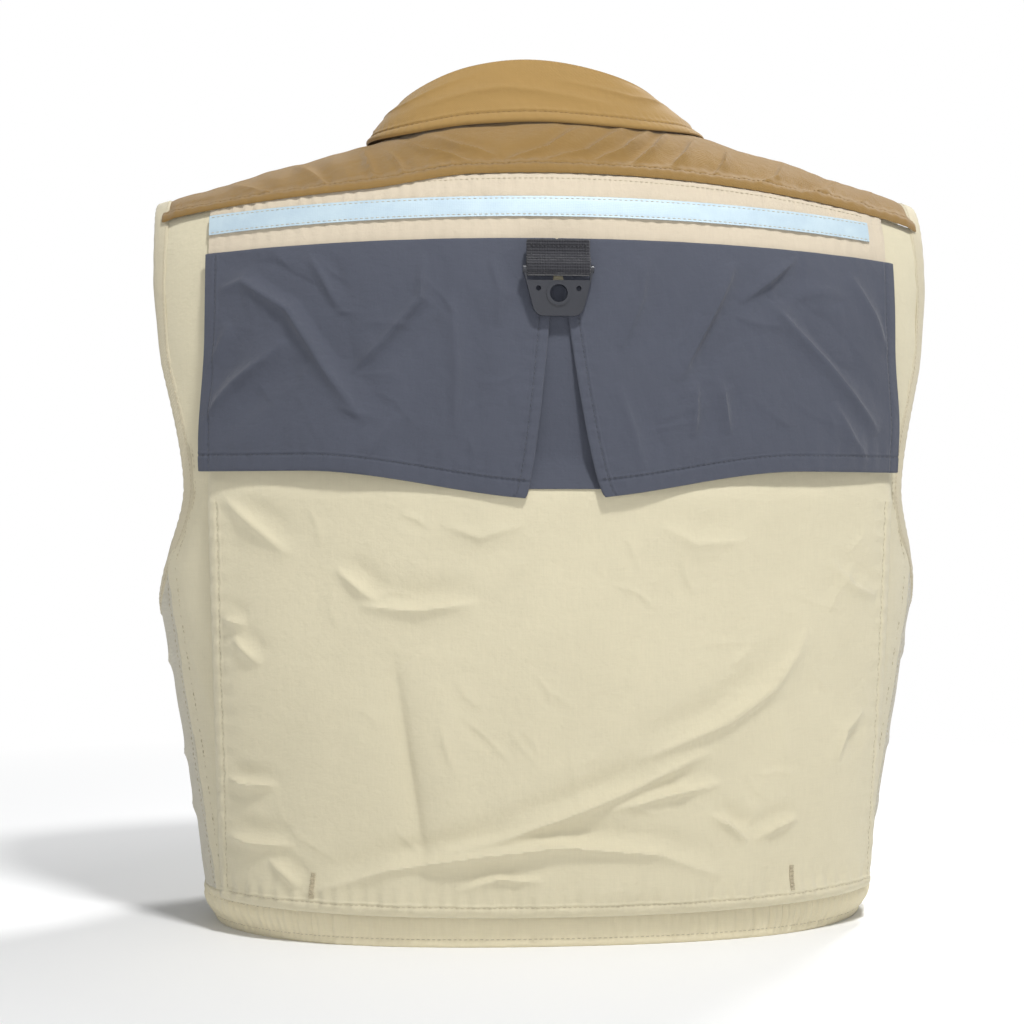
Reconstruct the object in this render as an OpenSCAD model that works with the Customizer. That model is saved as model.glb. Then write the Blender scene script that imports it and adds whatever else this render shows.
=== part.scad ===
// Fishing vest, worn shape, hollow, with its two fronts unzipped but lying closed.
// Millimetres. +Z is up and the wearer faces -Y, so the back is on the +Y side.
// The origin is on the hem's level, under the middle of the wearer.

/* [Body] */
// Half of the width at the hem
hem_half_w = 219; // [205:1:235]
// Half of the width at the armpits
chest_half_w = 252; // [240:1:265]
// Half of the depth, back to front, at the chest
chest_half_d = 118; // [110:1:126]
// Height of the armpits above the hem
armpit_z = 209; // [200:1:216]
// Height of the shoulder tips above the hem
tip_z = 477; // [470:1:486]
// Half of the distance between the shoulder tips
tip_half_w = 257; // [250:1:262]
// Thickness of the shell fabric with its lining
shell_t = 2; // [1.6:0.1:2.2]

/* [Back] */
// Half of the width of the grey cape
cape_half_w = 225; // [215:1:228]
// Height of the cape's top edge at the middle
cape_top_z = 438.5; // [434:0.5:442]
// Width of the reflective strip
strip_w = 13; // [10:0.5:16]
// Half of the width of the back pocket at its foot
pocket_half_w = 214; // [200:1:216]

/* [Net ring] */
// Width of the webbing that holds the net ring
webbing_w = 38; // [32:1:40]
// Radius of the hole in the middle of the net ring
ring_hole_r = 5.5; // [4.5:0.5:6]
// Radius of the net ring's top bar
ring_bar_r = 2.6; // [2.2:0.1:3]

/* [Front] */
// Height of the top end of the front zip
zip_top_z = 392; // [380:1:400]
// Width of each chest pocket
chest_pocket_w = 108; // [96:1:112]
// Width of each lower pocket
lower_pocket_w = 142; // [130:1:150]

/* [Hidden] */
$fn = 32;

// Colours of the cloth and the hardware
TAN = [0.72, 0.58, 0.37];
BEIGE = [0.85, 0.81, 0.69];
SIDE_BEIGE = [0.72, 0.70, 0.64];
SLATE = [0.34, 0.36, 0.41];
SILVER = [0.86, 0.94, 0.97];
BLACK = [0.15, 0.15, 0.17];

// The shell's section is |x/w|^n + |y/d|^n = 1, and its top is rounded over by a second such curve
section_n = 2.3;
crown_n = 2.6;
crown_z = 340;
tip_widening = 23;
shoulder_slope = 0.3;
yoke_neck_w = 100;
neck_round = 60;
neck_lift = 7;

// Levels and edges
waistband_h = 25;
gap = 0.5;
seam_angle = 112;
yoke_z = 485;
yoke_drop = 24;
strip_z = 461.5;
cape_side_z = 296;
cape_tip_z = 278;
ring_bar_z = 420;
front_yoke_z = zip_top_z - 4;
front_gap = 4;
front_edge_x = front_gap + 9;
zip_foot_z = 8;

// Layers, as distances out from the shell's inner surface
layer_1 = shell_t + 1;
layer_2 = shell_t + 3.4;
pocket_off = 9;
cape_flare = 6.2;
cloth_t = 1.4;

function mix(a, b, t) = a + (b - a) * t;
function ease(t) = let (c = min(max(t, 0), 1)) c * c * (3 - 2 * c);

// ---- The shell's surface ----

function half_width(z) =
    z < armpit_z ? mix(hem_half_w, chest_half_w, pow(max(z, 0) / armpit_z, 1.1))
                 : chest_half_w + tip_widening * (z - armpit_z) / (tip_z - armpit_z);
function shoulder_z(x) =
    tip_z + (tip_half_w + neck_lift - sqrt(x * x + neck_round * neck_round)) * shoulder_slope;

// How far the crown has rounded in at this height: 1 low down, 0 on the shoulder line
function crown(x, z, off) =
    let (q = (z - crown_z) / (shoulder_z(x) + off - crown_z))
    q <= 0 ? 1 : pow(max(1 - pow(q, crown_n), 0), 1 / crown_n);

// The angle round the body, 0 at the middle of the back and 90 at the wearer's left side
function angle_at(x, z) = sign(x) * asin(pow(min(abs(x) / half_width(z), 1), section_n / 2));
function back(x, z, off) = [angle_at(x, z), z, off];
function front(x, z, off) = [180 - angle_at(x, z), z, off];

// A point on the surface, from [angle, height, distance out]
function skin(p, extra) =
    let (z = p[1], off = p[2] + extra, s = sin(p[0]), c = cos(p[0]))
    let (x = (half_width(z) + off) * sign(s) * pow(abs(s), 2 / section_n))
    [x, (chest_half_d + off) * sign(c) * pow(abs(c), 2 / section_n) * crown(x, z, off), z];

// A point on the shoulders, from [x, turn over the shoulder, distance out], with the turn 0 low on
// the back, 90 on the shoulder line and 180 low on the front
function crest(p, extra) =
    let (x = p[0], off = p[2] + extra, rise = shoulder_z(x) + off - crown_z)
    let (z = crown_z + rise * pow(sin(p[1]), 2 / crown_n))
    let (across = min(abs(x) / (half_width(z) + off), 1))
    let (deep = (chest_half_d + off) * pow(1 - pow(across, section_n), 1 / section_n))
    [x, deep * sign(cos(p[1])) * pow(abs(cos(p[1])), 2 / crown_n), z];
function turn_at(x, z) =
    asin(pow(min(max(z - crown_z, 0) / (shoulder_z(x) - crown_z), 1), crown_n / 2));

// ---- Sheets of cloth ----

// A closed sheet between two grids of points, each a list of rows of the same length
module sheet(inner, outer) {
    rows = len(inner);
    cols = len(inner[0]);
    size = rows * cols;
    at = function (side, j, i) side * size + j * cols + i;
    walls = function (side) [
        for (j = [0:rows - 2], i = [0:cols - 2])
            let (a = at(side, j, i), b = at(side, j, i + 1))
            let (c = at(side, j + 1, i + 1), d = at(side, j + 1, i))
            each side == 0 ? [[a, b, c], [a, c, d]] : [[a, c, b], [a, d, c]]
    ];
    rim = [for (i = [0:cols - 1]) [0, i], for (j = [1:rows - 1]) [j, cols - 1],
           for (i = [cols - 2:-1:0]) [rows - 1, i], for (j = [rows - 2:-1:1]) [j, 0]];
    edges = [for (k = [0:len(rim) - 1])
                let (p = rim[k], q = rim[(k + 1) % len(rim)])
                let (a = at(0, p[0], p[1]), b = at(0, q[0], q[1]))
                let (c = at(1, q[0], q[1]), d = at(1, p[0], p[1]))
                each [[a, d, c], [a, c, b]]];
    polyhedron([for (row = inner) each row, for (row = outer) each row],
               [each walls(0), each walls(1), each edges]);
}

// A sheet on the body's surface, from a grid of [angle, height, distance out]
module body_cloth(grid, t) {
    sheet([for (row = grid) [for (p = row) skin(p, 0)]],
          [for (row = grid) [for (p = row) skin(p, t)]]);
}

// A sheet over the shoulders, from a grid of [x, turn, distance out]
module crest_cloth(grid, t) {
    sheet([for (row = grid) [for (p = row) crest(p, 0)]],
          [for (row = grid) [for (p = row) crest(p, t)]]);
}

// The right-hand piece is the left-hand one seen in a mirror
module right_hand() { mirror([1, 0, 0]) children(); }

// ---- Edges shared by neighbouring pieces ----

function yoke_edge_z(x) = yoke_z - yoke_drop * pow(x / 240, 2);
function cape_top(x) = cape_top_z - 8 * pow(x / 222, 2);
function strip_mid(x) = strip_z - 10 * pow(x / 222, 2);
function cape_foot(x) = mix(cape_tip_z, cape_side_z, ease(abs(x) / 150));

// The armhole's edge on the back, and on the front where it scoops further in
binding_w = 10;
armhole_waist_z = 287;
armhole_waist_x = 232;
armhole_top_x = tip_half_w - 2;
front_scoop = 14;
function armhole(z, scoop) =
    let (low = ease((z - armpit_z) / (armhole_waist_z - armpit_z)), high = ease((z - 280) / 140))
    let (waist_x = armhole_waist_x - scoop)
    mix(chest_half_w, waist_x, low) + (armhole_top_x - waist_x) * high;

// The armhole's foot under the arm, from the angle round the body
back_seam = 72;
underarm_rise = 32;
function underarm_z(a) =
    let (reach = a < 90 ? 90 - back_seam : seam_angle - 90)
    armpit_z + underarm_rise * pow(abs(a - 90) / reach, 1.6);

// How far the binding's inner edge lies from the armhole, measured across
panel_gap = 2.8;
function binding_inset(z) = mix(0.7, 1, ease((z - 380) / 80)) * binding_w;
function panel_edge(z, scoop) =
    let (seam = scoop > 0 ? seam_angle + 0.3 : 180 - back_seam)
    let (seam_x = skin([seam, z, 0], 0)[0])
    z < armpit_z ? seam_x : min(armhole(z, scoop) - binding_inset(z) - panel_gap, seam_x);

module back_panel() {
    color(BEIGE) body_cloth([for (v = [0:15])
        [for (i = [-12:12])
            let (z = mix(waistband_h + gap, 460, v / 15))
            let (x = i / 12 * (panel_edge(z, 0) - gap))
            back(x, mix(waistband_h + gap, yoke_edge_z(x) - gap, v / 15), 0)]], shell_t);
}

module side_panel() {
    color(SIDE_BEIGE) body_cloth([for (v = [0:6])
        [for (u = [0:10])
            let (a = mix(back_seam + 0.2, seam_angle - 0.2, u / 10))
            let (top = underarm_z(a) - binding_w - gap)
            [a, mix(waistband_h + gap, top, v / 6), 0]]], shell_t);
}

module waistband(from, to, steps) {
    color(BEIGE) body_cloth([for (z = [0, 6, 19, waistband_h])
        let (roll = z < 1 || z > 24 ? 0 : 1.2)
        [for (i = [0:steps]) [mix(from, to, i / steps), z, -roll]]], shell_t + 1.6);
}
module waistband_back() { waistband(0.3 - seam_angle, seam_angle - 0.3, 30); }
module waistband_front() {
    waistband(seam_angle + 0.3, 180 - angle_at(front_edge_x + gap, 0), 12);
}

// ---- Shoulders ----

// The neck's edge, from the share of its half width: low at the back, on the shoulder line at 1
function neck_turn(share, back_z) =
    mix(turn_at(0, back_z), 90, 1 - sqrt(1 - pow(min(abs(share), 1), 2.4)));
yoke_half_w = tip_half_w - 13;
yoke_neck_z = 527;
collar_foot_z = 519;
stand_foot_z = 530;
neckline_turn = 144;
neckline_sweep = 80;
function front_share(turn) =
    cos(neckline_sweep * (turn - 90) / (neckline_turn - 90));

module back_yoke() {
    color(TAN) crest_cloth([for (v = [0:6])
        [for (i = [-14:14])
            let (x = sign(i) * yoke_half_w * pow(abs(i) / 14, 0.9))
            [x, mix(turn_at(x, yoke_edge_z(x) + gap), neck_turn(x / yoke_neck_w, yoke_neck_z), v / 6), 0]]],
        shell_t + 0.6);
}

module front_yoke() {
    z_low = front_yoke_z + gap;
    color(TAN) crest_cloth([for (v = [0:8])
        [for (u = [0:8])
            let (guide = mix(180 - turn_at(0, z_low), 90.6, v / 8))
            let (inner = yoke_neck_w * front_share(min(guide, neckline_turn)))
            let (x = mix(inner, mix(panel_edge(z_low, front_scoop), yoke_half_w, ease(v / 8)), u / 8))
            [x, mix(180 - turn_at(x, z_low), 90.6, v / 8), 0]]], shell_t + 0.6);
}

// A closed ring, from a list of sections of four corners each
module ring(sections) {
    n = len(sections);
    polyhedron([for (section = sections) each section],
               [for (k = [0:n - 1], c = [0:3])
                   let (a = 4 * k + c, b = 4 * k + (c + 1) % 4)
                   let (d = 4 * ((k + 1) % n) + c, e = 4 * ((k + 1) % n) + (c + 1) % 4)
                   each [[a, b, e], [a, e, d]]]);
}

// The binding runs under the arm, up the back edge, over the shoulder and down the front edge
binding_t = 3.6;
module armhole_binding() {
    overlap = -0.8;
    turn_z = 385;
    low_turn = turn_at(armhole(turn_z, 0), turn_z);
    under = function (a, w)
        let (lean = cos(90 * abs(a - 90) / (a < 90 ? 90 - back_seam : seam_angle - 90)))
        let (turned = sign(a - 90) * w * binding_w / 3.2 * (1 - lean))
        [a + turned, underarm_z(a) - w * binding_w * lean, overlap];
    side = function (z, scoop, w)
        let (x = armhole(z, scoop) - w * binding_inset(z))
        scoop > 0 ? front(x, z, overlap) : back(x, z, overlap);
    over = function (turn, w)
        let (scoop = turn > 90 ? front_scoop : 0)
        let (z = crest([armhole_top_x, turn, 0], 0)[2])
        [armhole(z, scoop) - w * binding_inset(z), turn, overlap];
    rise = [258, 287, 316, 350];
    fall = [350, 316, 287, 258];
    corners = [[0, 0], [0, binding_t], [1, binding_t], [1, 0]];
    color(BEIGE) ring([
        for (a = [seam_angle:-4:back_seam]) [for (c = corners) skin(under(a, c[0]), c[1])],
        for (z = rise) [for (c = corners) skin(side(z, 0, c[0]), c[1])],
        for (t = [0:12]) [for (c = corners)
            crest(over(mix(low_turn, 180 - low_turn, t / 12), c[0]), c[1])],
        for (z = fall) [for (c = corners) skin(side(z, front_scoop, c[0]), c[1])]
    ]);
}

// ---- Collar: it rises inside as a stand, folds over and falls outside as a leaf ----

collar_end = 142;
collar_steps = 30;
leaf_r = 122;
fold_r0 = 100;
stand_r = 96;

// A point round the neck, from the angle f round it, 0 at the back, and the radius there
function neck_point(f, r, back_z, off) =
    let (turn = abs(f) < 90 ? neck_turn(sin(f), back_z)
                            : mix(90, neckline_turn, (abs(f) - 90) / (152 - 90)))
    crest([sign(f) * r * (abs(f) < 90 ? sin(abs(f)) : front_share(turn)), turn, off], 0);
function collar_fold(f) =
    let (p = neck_point(f, fold_r0, stand_foot_z - 4, 4))
    p + [0, 0, 6 + 28 * max(cos(f), 0)];
function inward(f, d) = [-d * sin(f), -d * cos(f), -0.3 * d];

// A sheet round the neck between two curves, with a bow between them
module collar_sheet(t, low, high, bow) {
    point = function (k, v, inset)
        let (f = mix(-collar_end, collar_end, k / collar_steps))
        mix(low(f), high(f), v) + [0, 0, bow * sin(180 * v)] + inward(f, inset);
    rows = 3;
    color(TAN) sheet([for (v = [rows:-1:0]) [for (k = [0:collar_steps]) point(k, v / rows, t)]],
                     [for (v = [rows:-1:0]) [for (k = [0:collar_steps]) point(k, v / rows, 0)]]);
}

module collar_leaf() {
    leaf_t = 2.2;
    leaf_bow = 4;
    collar_sheet(leaf_t, function (f) neck_point(f, leaf_r, collar_foot_z, 6),
                 function (f) collar_fold(f), leaf_bow);
}

module collar_stand() {
    stand_t = 1.6;
    collar_sheet(stand_t, function (f) neck_point(f, stand_r, stand_foot_z, 1),
                 function (f) collar_fold(f) + inward(f, 4) - [0, 0, 3], 0);
}

// ---- Back: strip, cape, pocket and net ring ----

// The outer layers lie closer to the body towards the sides
function side_hug(x) = 1 - 0.55 * pow(abs(x) / cape_half_w, 4);

// A sheet on the back between two edges that are functions of x
module back_band(low, high, half_w, off, t, rows, cols) {
    body_cloth([for (v = [0:rows])
        [for (i = [-cols:cols])
            let (x = half_w * i / cols)
            back(x, mix(low(x), high(x), v / rows), off)]], t);
}

module strip_carrier() {
    color(BEIGE) back_band(function (x) cape_top(x) - 4, function (x) yoke_edge_z(x) - 1.5,
                           cape_half_w - 2, layer_1, cloth_t, 2, 14);
}

module reflective_strip() {
    color(SILVER) back_band(function (x) strip_mid(x) - strip_w / 2,
                            function (x) strip_mid(x) + strip_w / 2,
                            cape_half_w - 6, layer_1 + cloth_t + 0.4, 0.8, 1, 14);
}

// The underlay of the cape's pleat hangs over the pocket's closed top
module cape_underlay() {
    underlay_t = 1.2;
    rise = [for (t = pocket_rows) if (t > 0.91) mix(pocket_foot_z, pocket_top_z, t)];
    color(SLATE) body_cloth([for (z = concat(rise, [330, 380, ring_bar_z - 8]))
        [for (i = [-2:2])
            let (x = 38 * i / 2)
            back(x, z, pocket_out(x, z) + cloth_t + 0.15)]], underlay_t);
}

// One cape panel, from the pleat's edge to the side, flaring off the body towards its foot
module cape(inner_foot_x, inner_top_x) {
    color(SLATE) body_cloth([for (v = [0:7])
        [for (u = [0:12])
            let (t = v / 7)
            let (x0 = mix(inner_foot_x, inner_top_x, pow(t, 0.7)))
            let (x = mix(x0, cape_half_w, u / 12))
            let (flare = cape_flare * side_hug(x) * (1 - ease(t * 1.6)))
            back(x, mix(cape_foot(x), cape_top(x) - 5, t), layer_2 + flare)]],
        cloth_t);
}
module cape_left() { cape(20, 1); }
module cape_right() { right_hand() cape(27, 1); }

// The pocket stands off the body and closes against it over the last tenth of its height
pocket_foot_z = 19;
pocket_top_z = 306;
pocket_rows = [for (v = [0:9]) v / 10, 0.925, 0.95, 0.975, 1];
function pocket_out(x, z) =
    let (t = (z - pocket_foot_z) / (pocket_top_z - pocket_foot_z))
    mix(mix(layer_1, pocket_off, side_hug(x)), shell_t + 0.4, ease((t - 0.9) / 0.1));
module back_pocket() {
    color(BEIGE) body_cloth([for (t = pocket_rows)
        let (z = mix(pocket_foot_z, pocket_top_z, t))
        [for (i = [-14:14])
            let (x = mix(pocket_half_w, cape_half_w, t) * i / 14)
            back(x, z + 3 * pow(x / 214, 2) * (1 - t), pocket_out(x, z))]],
        cloth_t);
}

// Short bars of dense stitching across the pocket's foot
bartack_x = 146;
bartack_w = 3.2;
bartack_z = [27, 44];
module back_pocket_bartacks() {
    color(BEIGE) for (x = [-bartack_x, bartack_x])
        body_cloth([for (z = bartack_z) [for (i = [-1, 1])
            back(x + i * bartack_w / 2, z, pocket_out(x, z) + cloth_t + 0.25)]], 0.9);
}

// The bar sits in a running fit in the fold of the webbing
fold_r = ring_bar_r + 0.05;
webbing_t = 1.6;
ring_pad = 2.4;
ring_y = skin([0, ring_bar_z, layer_2 + cloth_t + ring_pad + webbing_t + fold_r], 0)[1];
bar_axis = [0, ring_y, ring_bar_z];

module ring_webbing() {
    color(BLACK) translate(bar_axis) rotate([0, 90, 0]) {
        linear_extrude(webbing_w, center = true) difference() {
            union() {
                circle(fold_r + webbing_t);
                translate([-19, -fold_r - webbing_t]) square([19, fold_r + webbing_t + 1]);
            }
            circle(fold_r);
        }
    }
}

ring_w = 42;
ring_drop = 27;
module net_ring() {
    rail = 5;
    plate_t = 3.4;
    color(BLACK) translate(bar_axis) rotate([90, 0, 0]) {
        difference() {
            union() {
                rotate([0, 90, 0]) cylinder(r = ring_bar_r, h = ring_w + 2, center = true);
                translate([0, 0, -plate_t / 2]) linear_extrude(plate_t) difference() {
                    hull() {
                        for (side = [-1, 1]) translate([side * (ring_w / 2 - 1.5), 0]) circle(2.5);
                        for (side = [-1, 1]) translate([side * 9, rail - ring_drop]) circle(7);
                    }
                    translate([0, -0.1]) square([webbing_w + 1, 13.6], center = true);
                }
                translate([0, -15, 0]) cylinder(r = ring_hole_r + 2, h = 5, center = true);
            }
            translate([0, -15, 0]) cylinder(r = ring_hole_r, h = 12, center = true);
            for (side = [-1, 1]) translate([side * 12.5, -12, 0]) cylinder(r = 1.6, h = 12, center = true);
        }
    }
}

loop_r = 8;
loop_t = 2.4;
loop_half_w = 22;
module hanger_loop() {
    base = neck_point(0, stand_r, stand_foot_z, 1);
    color(TAN) translate([0, base[1] - 6, base[2] + 1]) rotate([90, 0, 0])
        linear_extrude(loop_t, center = true) difference() {
            hull() for (side = [-1, 1]) translate([side * loop_half_w, 0]) circle(loop_r);
            hull() for (side = [-1, 1]) translate([side * loop_half_w, 0]) circle(loop_r - loop_t);
        }
}

label_half_w = 26;
label_z = [462, 478];
label_t = 0.8;
module blank_label() {
    color(BEIGE) body_cloth([for (z = label_z) [for (i = [-2:2])
        back(label_half_w * i / 2, z, -2 * label_t)]], label_t);
}

// ---- Fronts ----

module front_panel() {
    color(BEIGE) body_cloth([for (v = [0:12])
        let (z = mix(waistband_h + gap, front_yoke_z, v / 12))
        [for (u = [0:12]) front(mix(panel_edge(z, front_scoop) - gap, front_edge_x + gap, u / 12), z, 0)]],
        shell_t);
}

module zip_tape() {
    color(BEIGE) body_cloth([for (z = [0:30:zip_top_z + 1])
        let (zz = min(max(z, zip_foot_z), zip_top_z - 2))
        [for (x = [front_edge_x, front_gap + 2.4]) front(x, zz, 0.4)]], 1.2);
}

// The teeth lie in short moulded runs along the edge of the tape
tooth_run = 11.4;
tooth_step = 12;
zip_y = skin(front(front_gap, zip_foot_z, 0), 0)[1];
module zip_teeth() {
    color(BEIGE) for (z = [zip_foot_z + 3:tooth_step:zip_top_z - tooth_step])
        translate([front_gap, zip_y - 2, z]) cube([2, 2.6, tooth_run]);
}

module zip_bottom_stop() {
    color(SILVER) translate([front_gap - 1, zip_y - 2.6, 1.5]) cube([4, 3.6, 6]);
}

// The slider is parked at the foot of the left tape, its right channel empty
slider_x = front_gap - 0.6;
slider_z = 40;
slider_w = 9.6;
slider_h = 13;
plate_t = 1.3;
bail = [slider_x, zip_y - 7, slider_z + 3.5];
bail_r = 0.9;
module zip_slider() {
    color(SILVER) {
        translate([slider_x, zip_y, slider_z]) {
            for (y = [-3 - plate_t, 1.2])
                translate([-slider_w / 2, y, -slider_h / 2]) cube([slider_w, plate_t, slider_h]);
            translate([-0.45, -3.5, 3]) cube([0.9, 5, 3]);
            for (x = [-3.9, 2.9]) translate([x, -8.2, 2]) cube([1, 5, 3]);
        }
        translate(bail) rotate([0, 90, 0]) cylinder(r = bail_r, h = 7, center = true);
    }
}

pull_w = 4.6;
module zip_pull() {
    color(SILVER) translate(bail) rotate([0, 90, 0]) linear_extrude(pull_w, center = true)
        difference() {
            union() {
                circle(2);
                translate([0, -1.4]) square([24, 1.5]);
            }
            circle(bail_r + 0.05);
        }
}

// A patch on the front between two x values and two heights
function front_patch(x0, x1, z0, z1, off, cols, rows) =
    [for (v = [0:rows]) [for (u = [0:cols])
        front(mix(x1, x0, u / cols), mix(z0, z1, v / rows), off)]];

// A sewn-on pocket: a front wall and its gusset, open at the top
module pouch(x0, w, z0, z1, deep) {
    cols = 10;
    rows = 7;
    foot = 3;
    point = function (r, k, inset)
        let (side = k == 0 || k == cols, raised = side || r == 0 ? 0 : 1)
        let (across = min(max((k - 1) / (cols - 2), 0), 1))
        let (tuck = r == 0 ? (side ? foot : 2 * foot) : 0)
        let (x = mix(x0 + inset + tuck, x0 + w - inset - tuck, across))
        let (foot_z = z0 + inset + (side && r > 0 ? foot : 0))
        let (z = mix(foot_z, z1, max(r - 1, 0) / (rows - 1)))
        skin(front(x, z, shell_t + 0.4 + raised * (deep - inset)), 0);
    color(BEIGE) sheet([for (r = [0:rows]) [for (k = [cols:-1:0]) point(r, k, pouch_wall)]],
                       [for (r = [0:rows]) [for (k = [cols:-1:0]) point(r, k, 0)]]);
}

// A flap that is sewn to the front above a pocket, bends out over its mouth and hangs down
module flap(x0, w, z0, z1, deep) {
    out = shell_t + deep + 2.4;
    rise = z1 - z0;
    profile = [[0, out], [rise - 28, out], [rise - 12, out - 0.4], [rise - 4, mix(2, out, 0.55)],
               [rise, shell_t + 0.8]];
    color(BEIGE) body_cloth([for (p = profile)
        [for (u = [0:8]) front(mix(x0 + w + 2, x0 - 2, u / 8), z0 + p[0], p[1])]], 2);
}

pouch_wall = 1.6;
chest_pocket_x = 18;
chest_pocket_z = [240, 342];
chest_deep = 13;
chest_flap_z = [302, 356];
lower_pocket_x = 18;
lower_pocket_z = [34, 178];
lower_deep = 22;
lower_flap_z = [132, 194];

module chest_pocket() {
    pouch(chest_pocket_x, chest_pocket_w, chest_pocket_z[0], chest_pocket_z[1], chest_deep);
}
module lower_pocket() {
    pouch(lower_pocket_x, lower_pocket_w, lower_pocket_z[0], lower_pocket_z[1], lower_deep);
}
module chest_flap() {
    flap(chest_pocket_x, chest_pocket_w, chest_flap_z[0], chest_flap_z[1], chest_deep);
}
module lower_flap() {
    flap(lower_pocket_x, lower_pocket_w, lower_flap_z[0], lower_flap_z[1], lower_deep);
}

// Loop tape on the pocket walls, where the flaps close
loop_tape_t = 1.2;
loop_tape_lift = shell_t + 0.6;
module pocket_loop_tape() {
    color(BEIGE) {
        body_cloth(front_patch(50, 94, 308, 324, loop_tape_lift + chest_deep, 3, 1), loop_tape_t);
        body_cloth(front_patch(66, 110, 140, 158, loop_tape_lift + lower_deep, 3, 1), loop_tape_t);
    }
}

// The tool ring hangs beside the right chest pocket, turned to lie along the surface there
tab_x = 150;
tab_z = 372;
function tab_spot(x) = let (p = skin(front(x, tab_z, shell_t + 3.4), 0)) [-p[0], p[1], p[2]];
tab_pos = tab_spot(tab_x);
tab_turn = let (d = tab_spot(tab_x - 5) - tab_spot(tab_x + 5)) atan2(d[1], d[0]);
tool_ring_r = 1.2;
tool_ring_half_w = 12.6;
tool_ring_drop = 14;
module at_tab() { translate(tab_pos) rotate([0, 0, tab_turn]) children(); }

module tool_tab() {
    tab_w = 20;
    color(BLACK) at_tab() rotate([0, 90, 0]) linear_extrude(tab_w, center = true) difference() {
        union() {
            circle(2.6);
            translate([-10, -0.4]) square([10, 3]);
        }
        circle(tool_ring_r + 0.05);
    }
}

module tool_ring() {
    color(SILVER) at_tab() {
        for (z = [0, -tool_ring_drop]) translate([0, 0, z]) rotate([0, 90, 0])
            cylinder(r = tool_ring_r, h = 2 * tool_ring_half_w, center = true);
        for (side = [-1, 1]) translate([side * tool_ring_half_w, 0, -tool_ring_drop]) {
            cylinder(r = tool_ring_r, h = tool_ring_drop);
            for (z = [0, tool_ring_drop]) translate([0, 0, z]) sphere(tool_ring_r);
        }
    }
}

back_panel();
side_panel();  // side_panel_left
right_hand() side_panel();  // side_panel_right
waistband_back();
waistband_front();  // waistband_front_left
right_hand() waistband_front();  // waistband_front_right
back_yoke();
front_yoke();  // front_yoke_left
right_hand() front_yoke();  // front_yoke_right
strip_carrier();
reflective_strip();
cape_underlay();
cape_left();
cape_right();
back_pocket();
back_pocket_bartacks();
ring_webbing();
net_ring();
armhole_binding();  // armhole_binding_left
right_hand() armhole_binding();  // armhole_binding_right
collar_stand();
collar_leaf();
hanger_loop();
blank_label();
front_panel();  // front_panel_left
right_hand() front_panel();  // front_panel_right
zip_tape();  // zip_tape_left
right_hand() zip_tape();  // zip_tape_right
zip_teeth();  // zip_teeth_left
right_hand() zip_teeth();  // zip_teeth_right
zip_bottom_stop();
zip_slider();
zip_pull();
chest_pocket();  // chest_pocket_left
right_hand() chest_pocket();  // chest_pocket_right
chest_flap();  // chest_flap_left
right_hand() chest_flap();  // chest_flap_right
lower_pocket();  // lower_pocket_left
right_hand() lower_pocket();  // lower_pocket_right
lower_flap();  // lower_flap_left
right_hand() lower_flap();  // lower_flap_right
pocket_loop_tape();  // pocket_loop_tape_left
right_hand() pocket_loop_tape();  // pocket_loop_tape_right
tool_tab();
tool_ring();
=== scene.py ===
"""Fishing vest: its cloth, stitching, hardware finishes and studio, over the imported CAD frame.

Shapes are worked out in millimetres on the same surfaces as the CAD, and meshes are made in metres.
The back is on the +Y side, +Z is up and the origin is on the hem's level.
"""

from math import cos, pi, radians, sin

import bmesh
import bpy
import numpy as np
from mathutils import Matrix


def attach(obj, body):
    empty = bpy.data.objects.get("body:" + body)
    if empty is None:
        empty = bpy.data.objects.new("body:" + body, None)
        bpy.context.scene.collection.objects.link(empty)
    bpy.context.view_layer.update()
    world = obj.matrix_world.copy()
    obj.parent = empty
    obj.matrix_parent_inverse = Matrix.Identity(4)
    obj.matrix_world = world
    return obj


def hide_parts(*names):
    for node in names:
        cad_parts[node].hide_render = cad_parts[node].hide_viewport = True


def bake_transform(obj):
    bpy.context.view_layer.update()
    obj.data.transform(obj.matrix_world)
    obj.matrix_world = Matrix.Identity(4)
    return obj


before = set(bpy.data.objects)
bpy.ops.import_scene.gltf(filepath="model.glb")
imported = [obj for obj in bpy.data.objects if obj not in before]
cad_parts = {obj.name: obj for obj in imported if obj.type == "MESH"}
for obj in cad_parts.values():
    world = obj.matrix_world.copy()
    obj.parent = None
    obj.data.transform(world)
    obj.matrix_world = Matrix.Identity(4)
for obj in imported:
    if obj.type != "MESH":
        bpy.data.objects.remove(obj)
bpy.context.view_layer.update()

MM = 0.001

# ---- Driving sizes, as in the CAD ----

HEM_HALF_W = 219
CHEST_HALF_W = 252
CHEST_HALF_D = 118
ARMPIT_Z = 209
TIP_Z = 477
TIP_HALF_W = 257
SECTION_N = 2.3
CROWN_N = 2.6
ARMHOLE_WAIST_X = 232
ARMHOLE_TOP_X = 255
FRONT_SCOOP = 14
CROWN_Z = 340
TIP_WIDENING = 23
SHOULDER_SLOPE = 0.3
NECK_ROUND = 60
NECK_LIFT = 7
YOKE_NECK_W = 100
YOKE_NECK_Z = 527
STAND_FOOT_Z = 530
STAND_R = 96
LEAF_FOOT_Z = 519
LEAF_R = 114
SHELL_T = 2
SEAM_ANGLE = 112
BACK_SEAM = 72
UNDERARM_RISE = 32
CAPE_HALF_W = 225
POCKET_HALF_W = 214
POCKET_FOOT_Z = 19
POCKET_TOP_Z = 306
CLOTH_T = 1.4
ZIP_TOP_Z = 392
FRONT_YOKE_Z = ZIP_TOP_Z - 4
FRONT_EDGE_X = 13
BINDING_W = 10
BINDING_TUCK = 4.5
RING_BAR_Z = 420
COLLAR_END = 142
NECKLINE_TURN = 144


def mix(a, b, t):
    return a + (b - a) * t


def ease(t):
    c = np.clip(t, 0, 1)
    return c * c * (3 - 2 * c)


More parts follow.
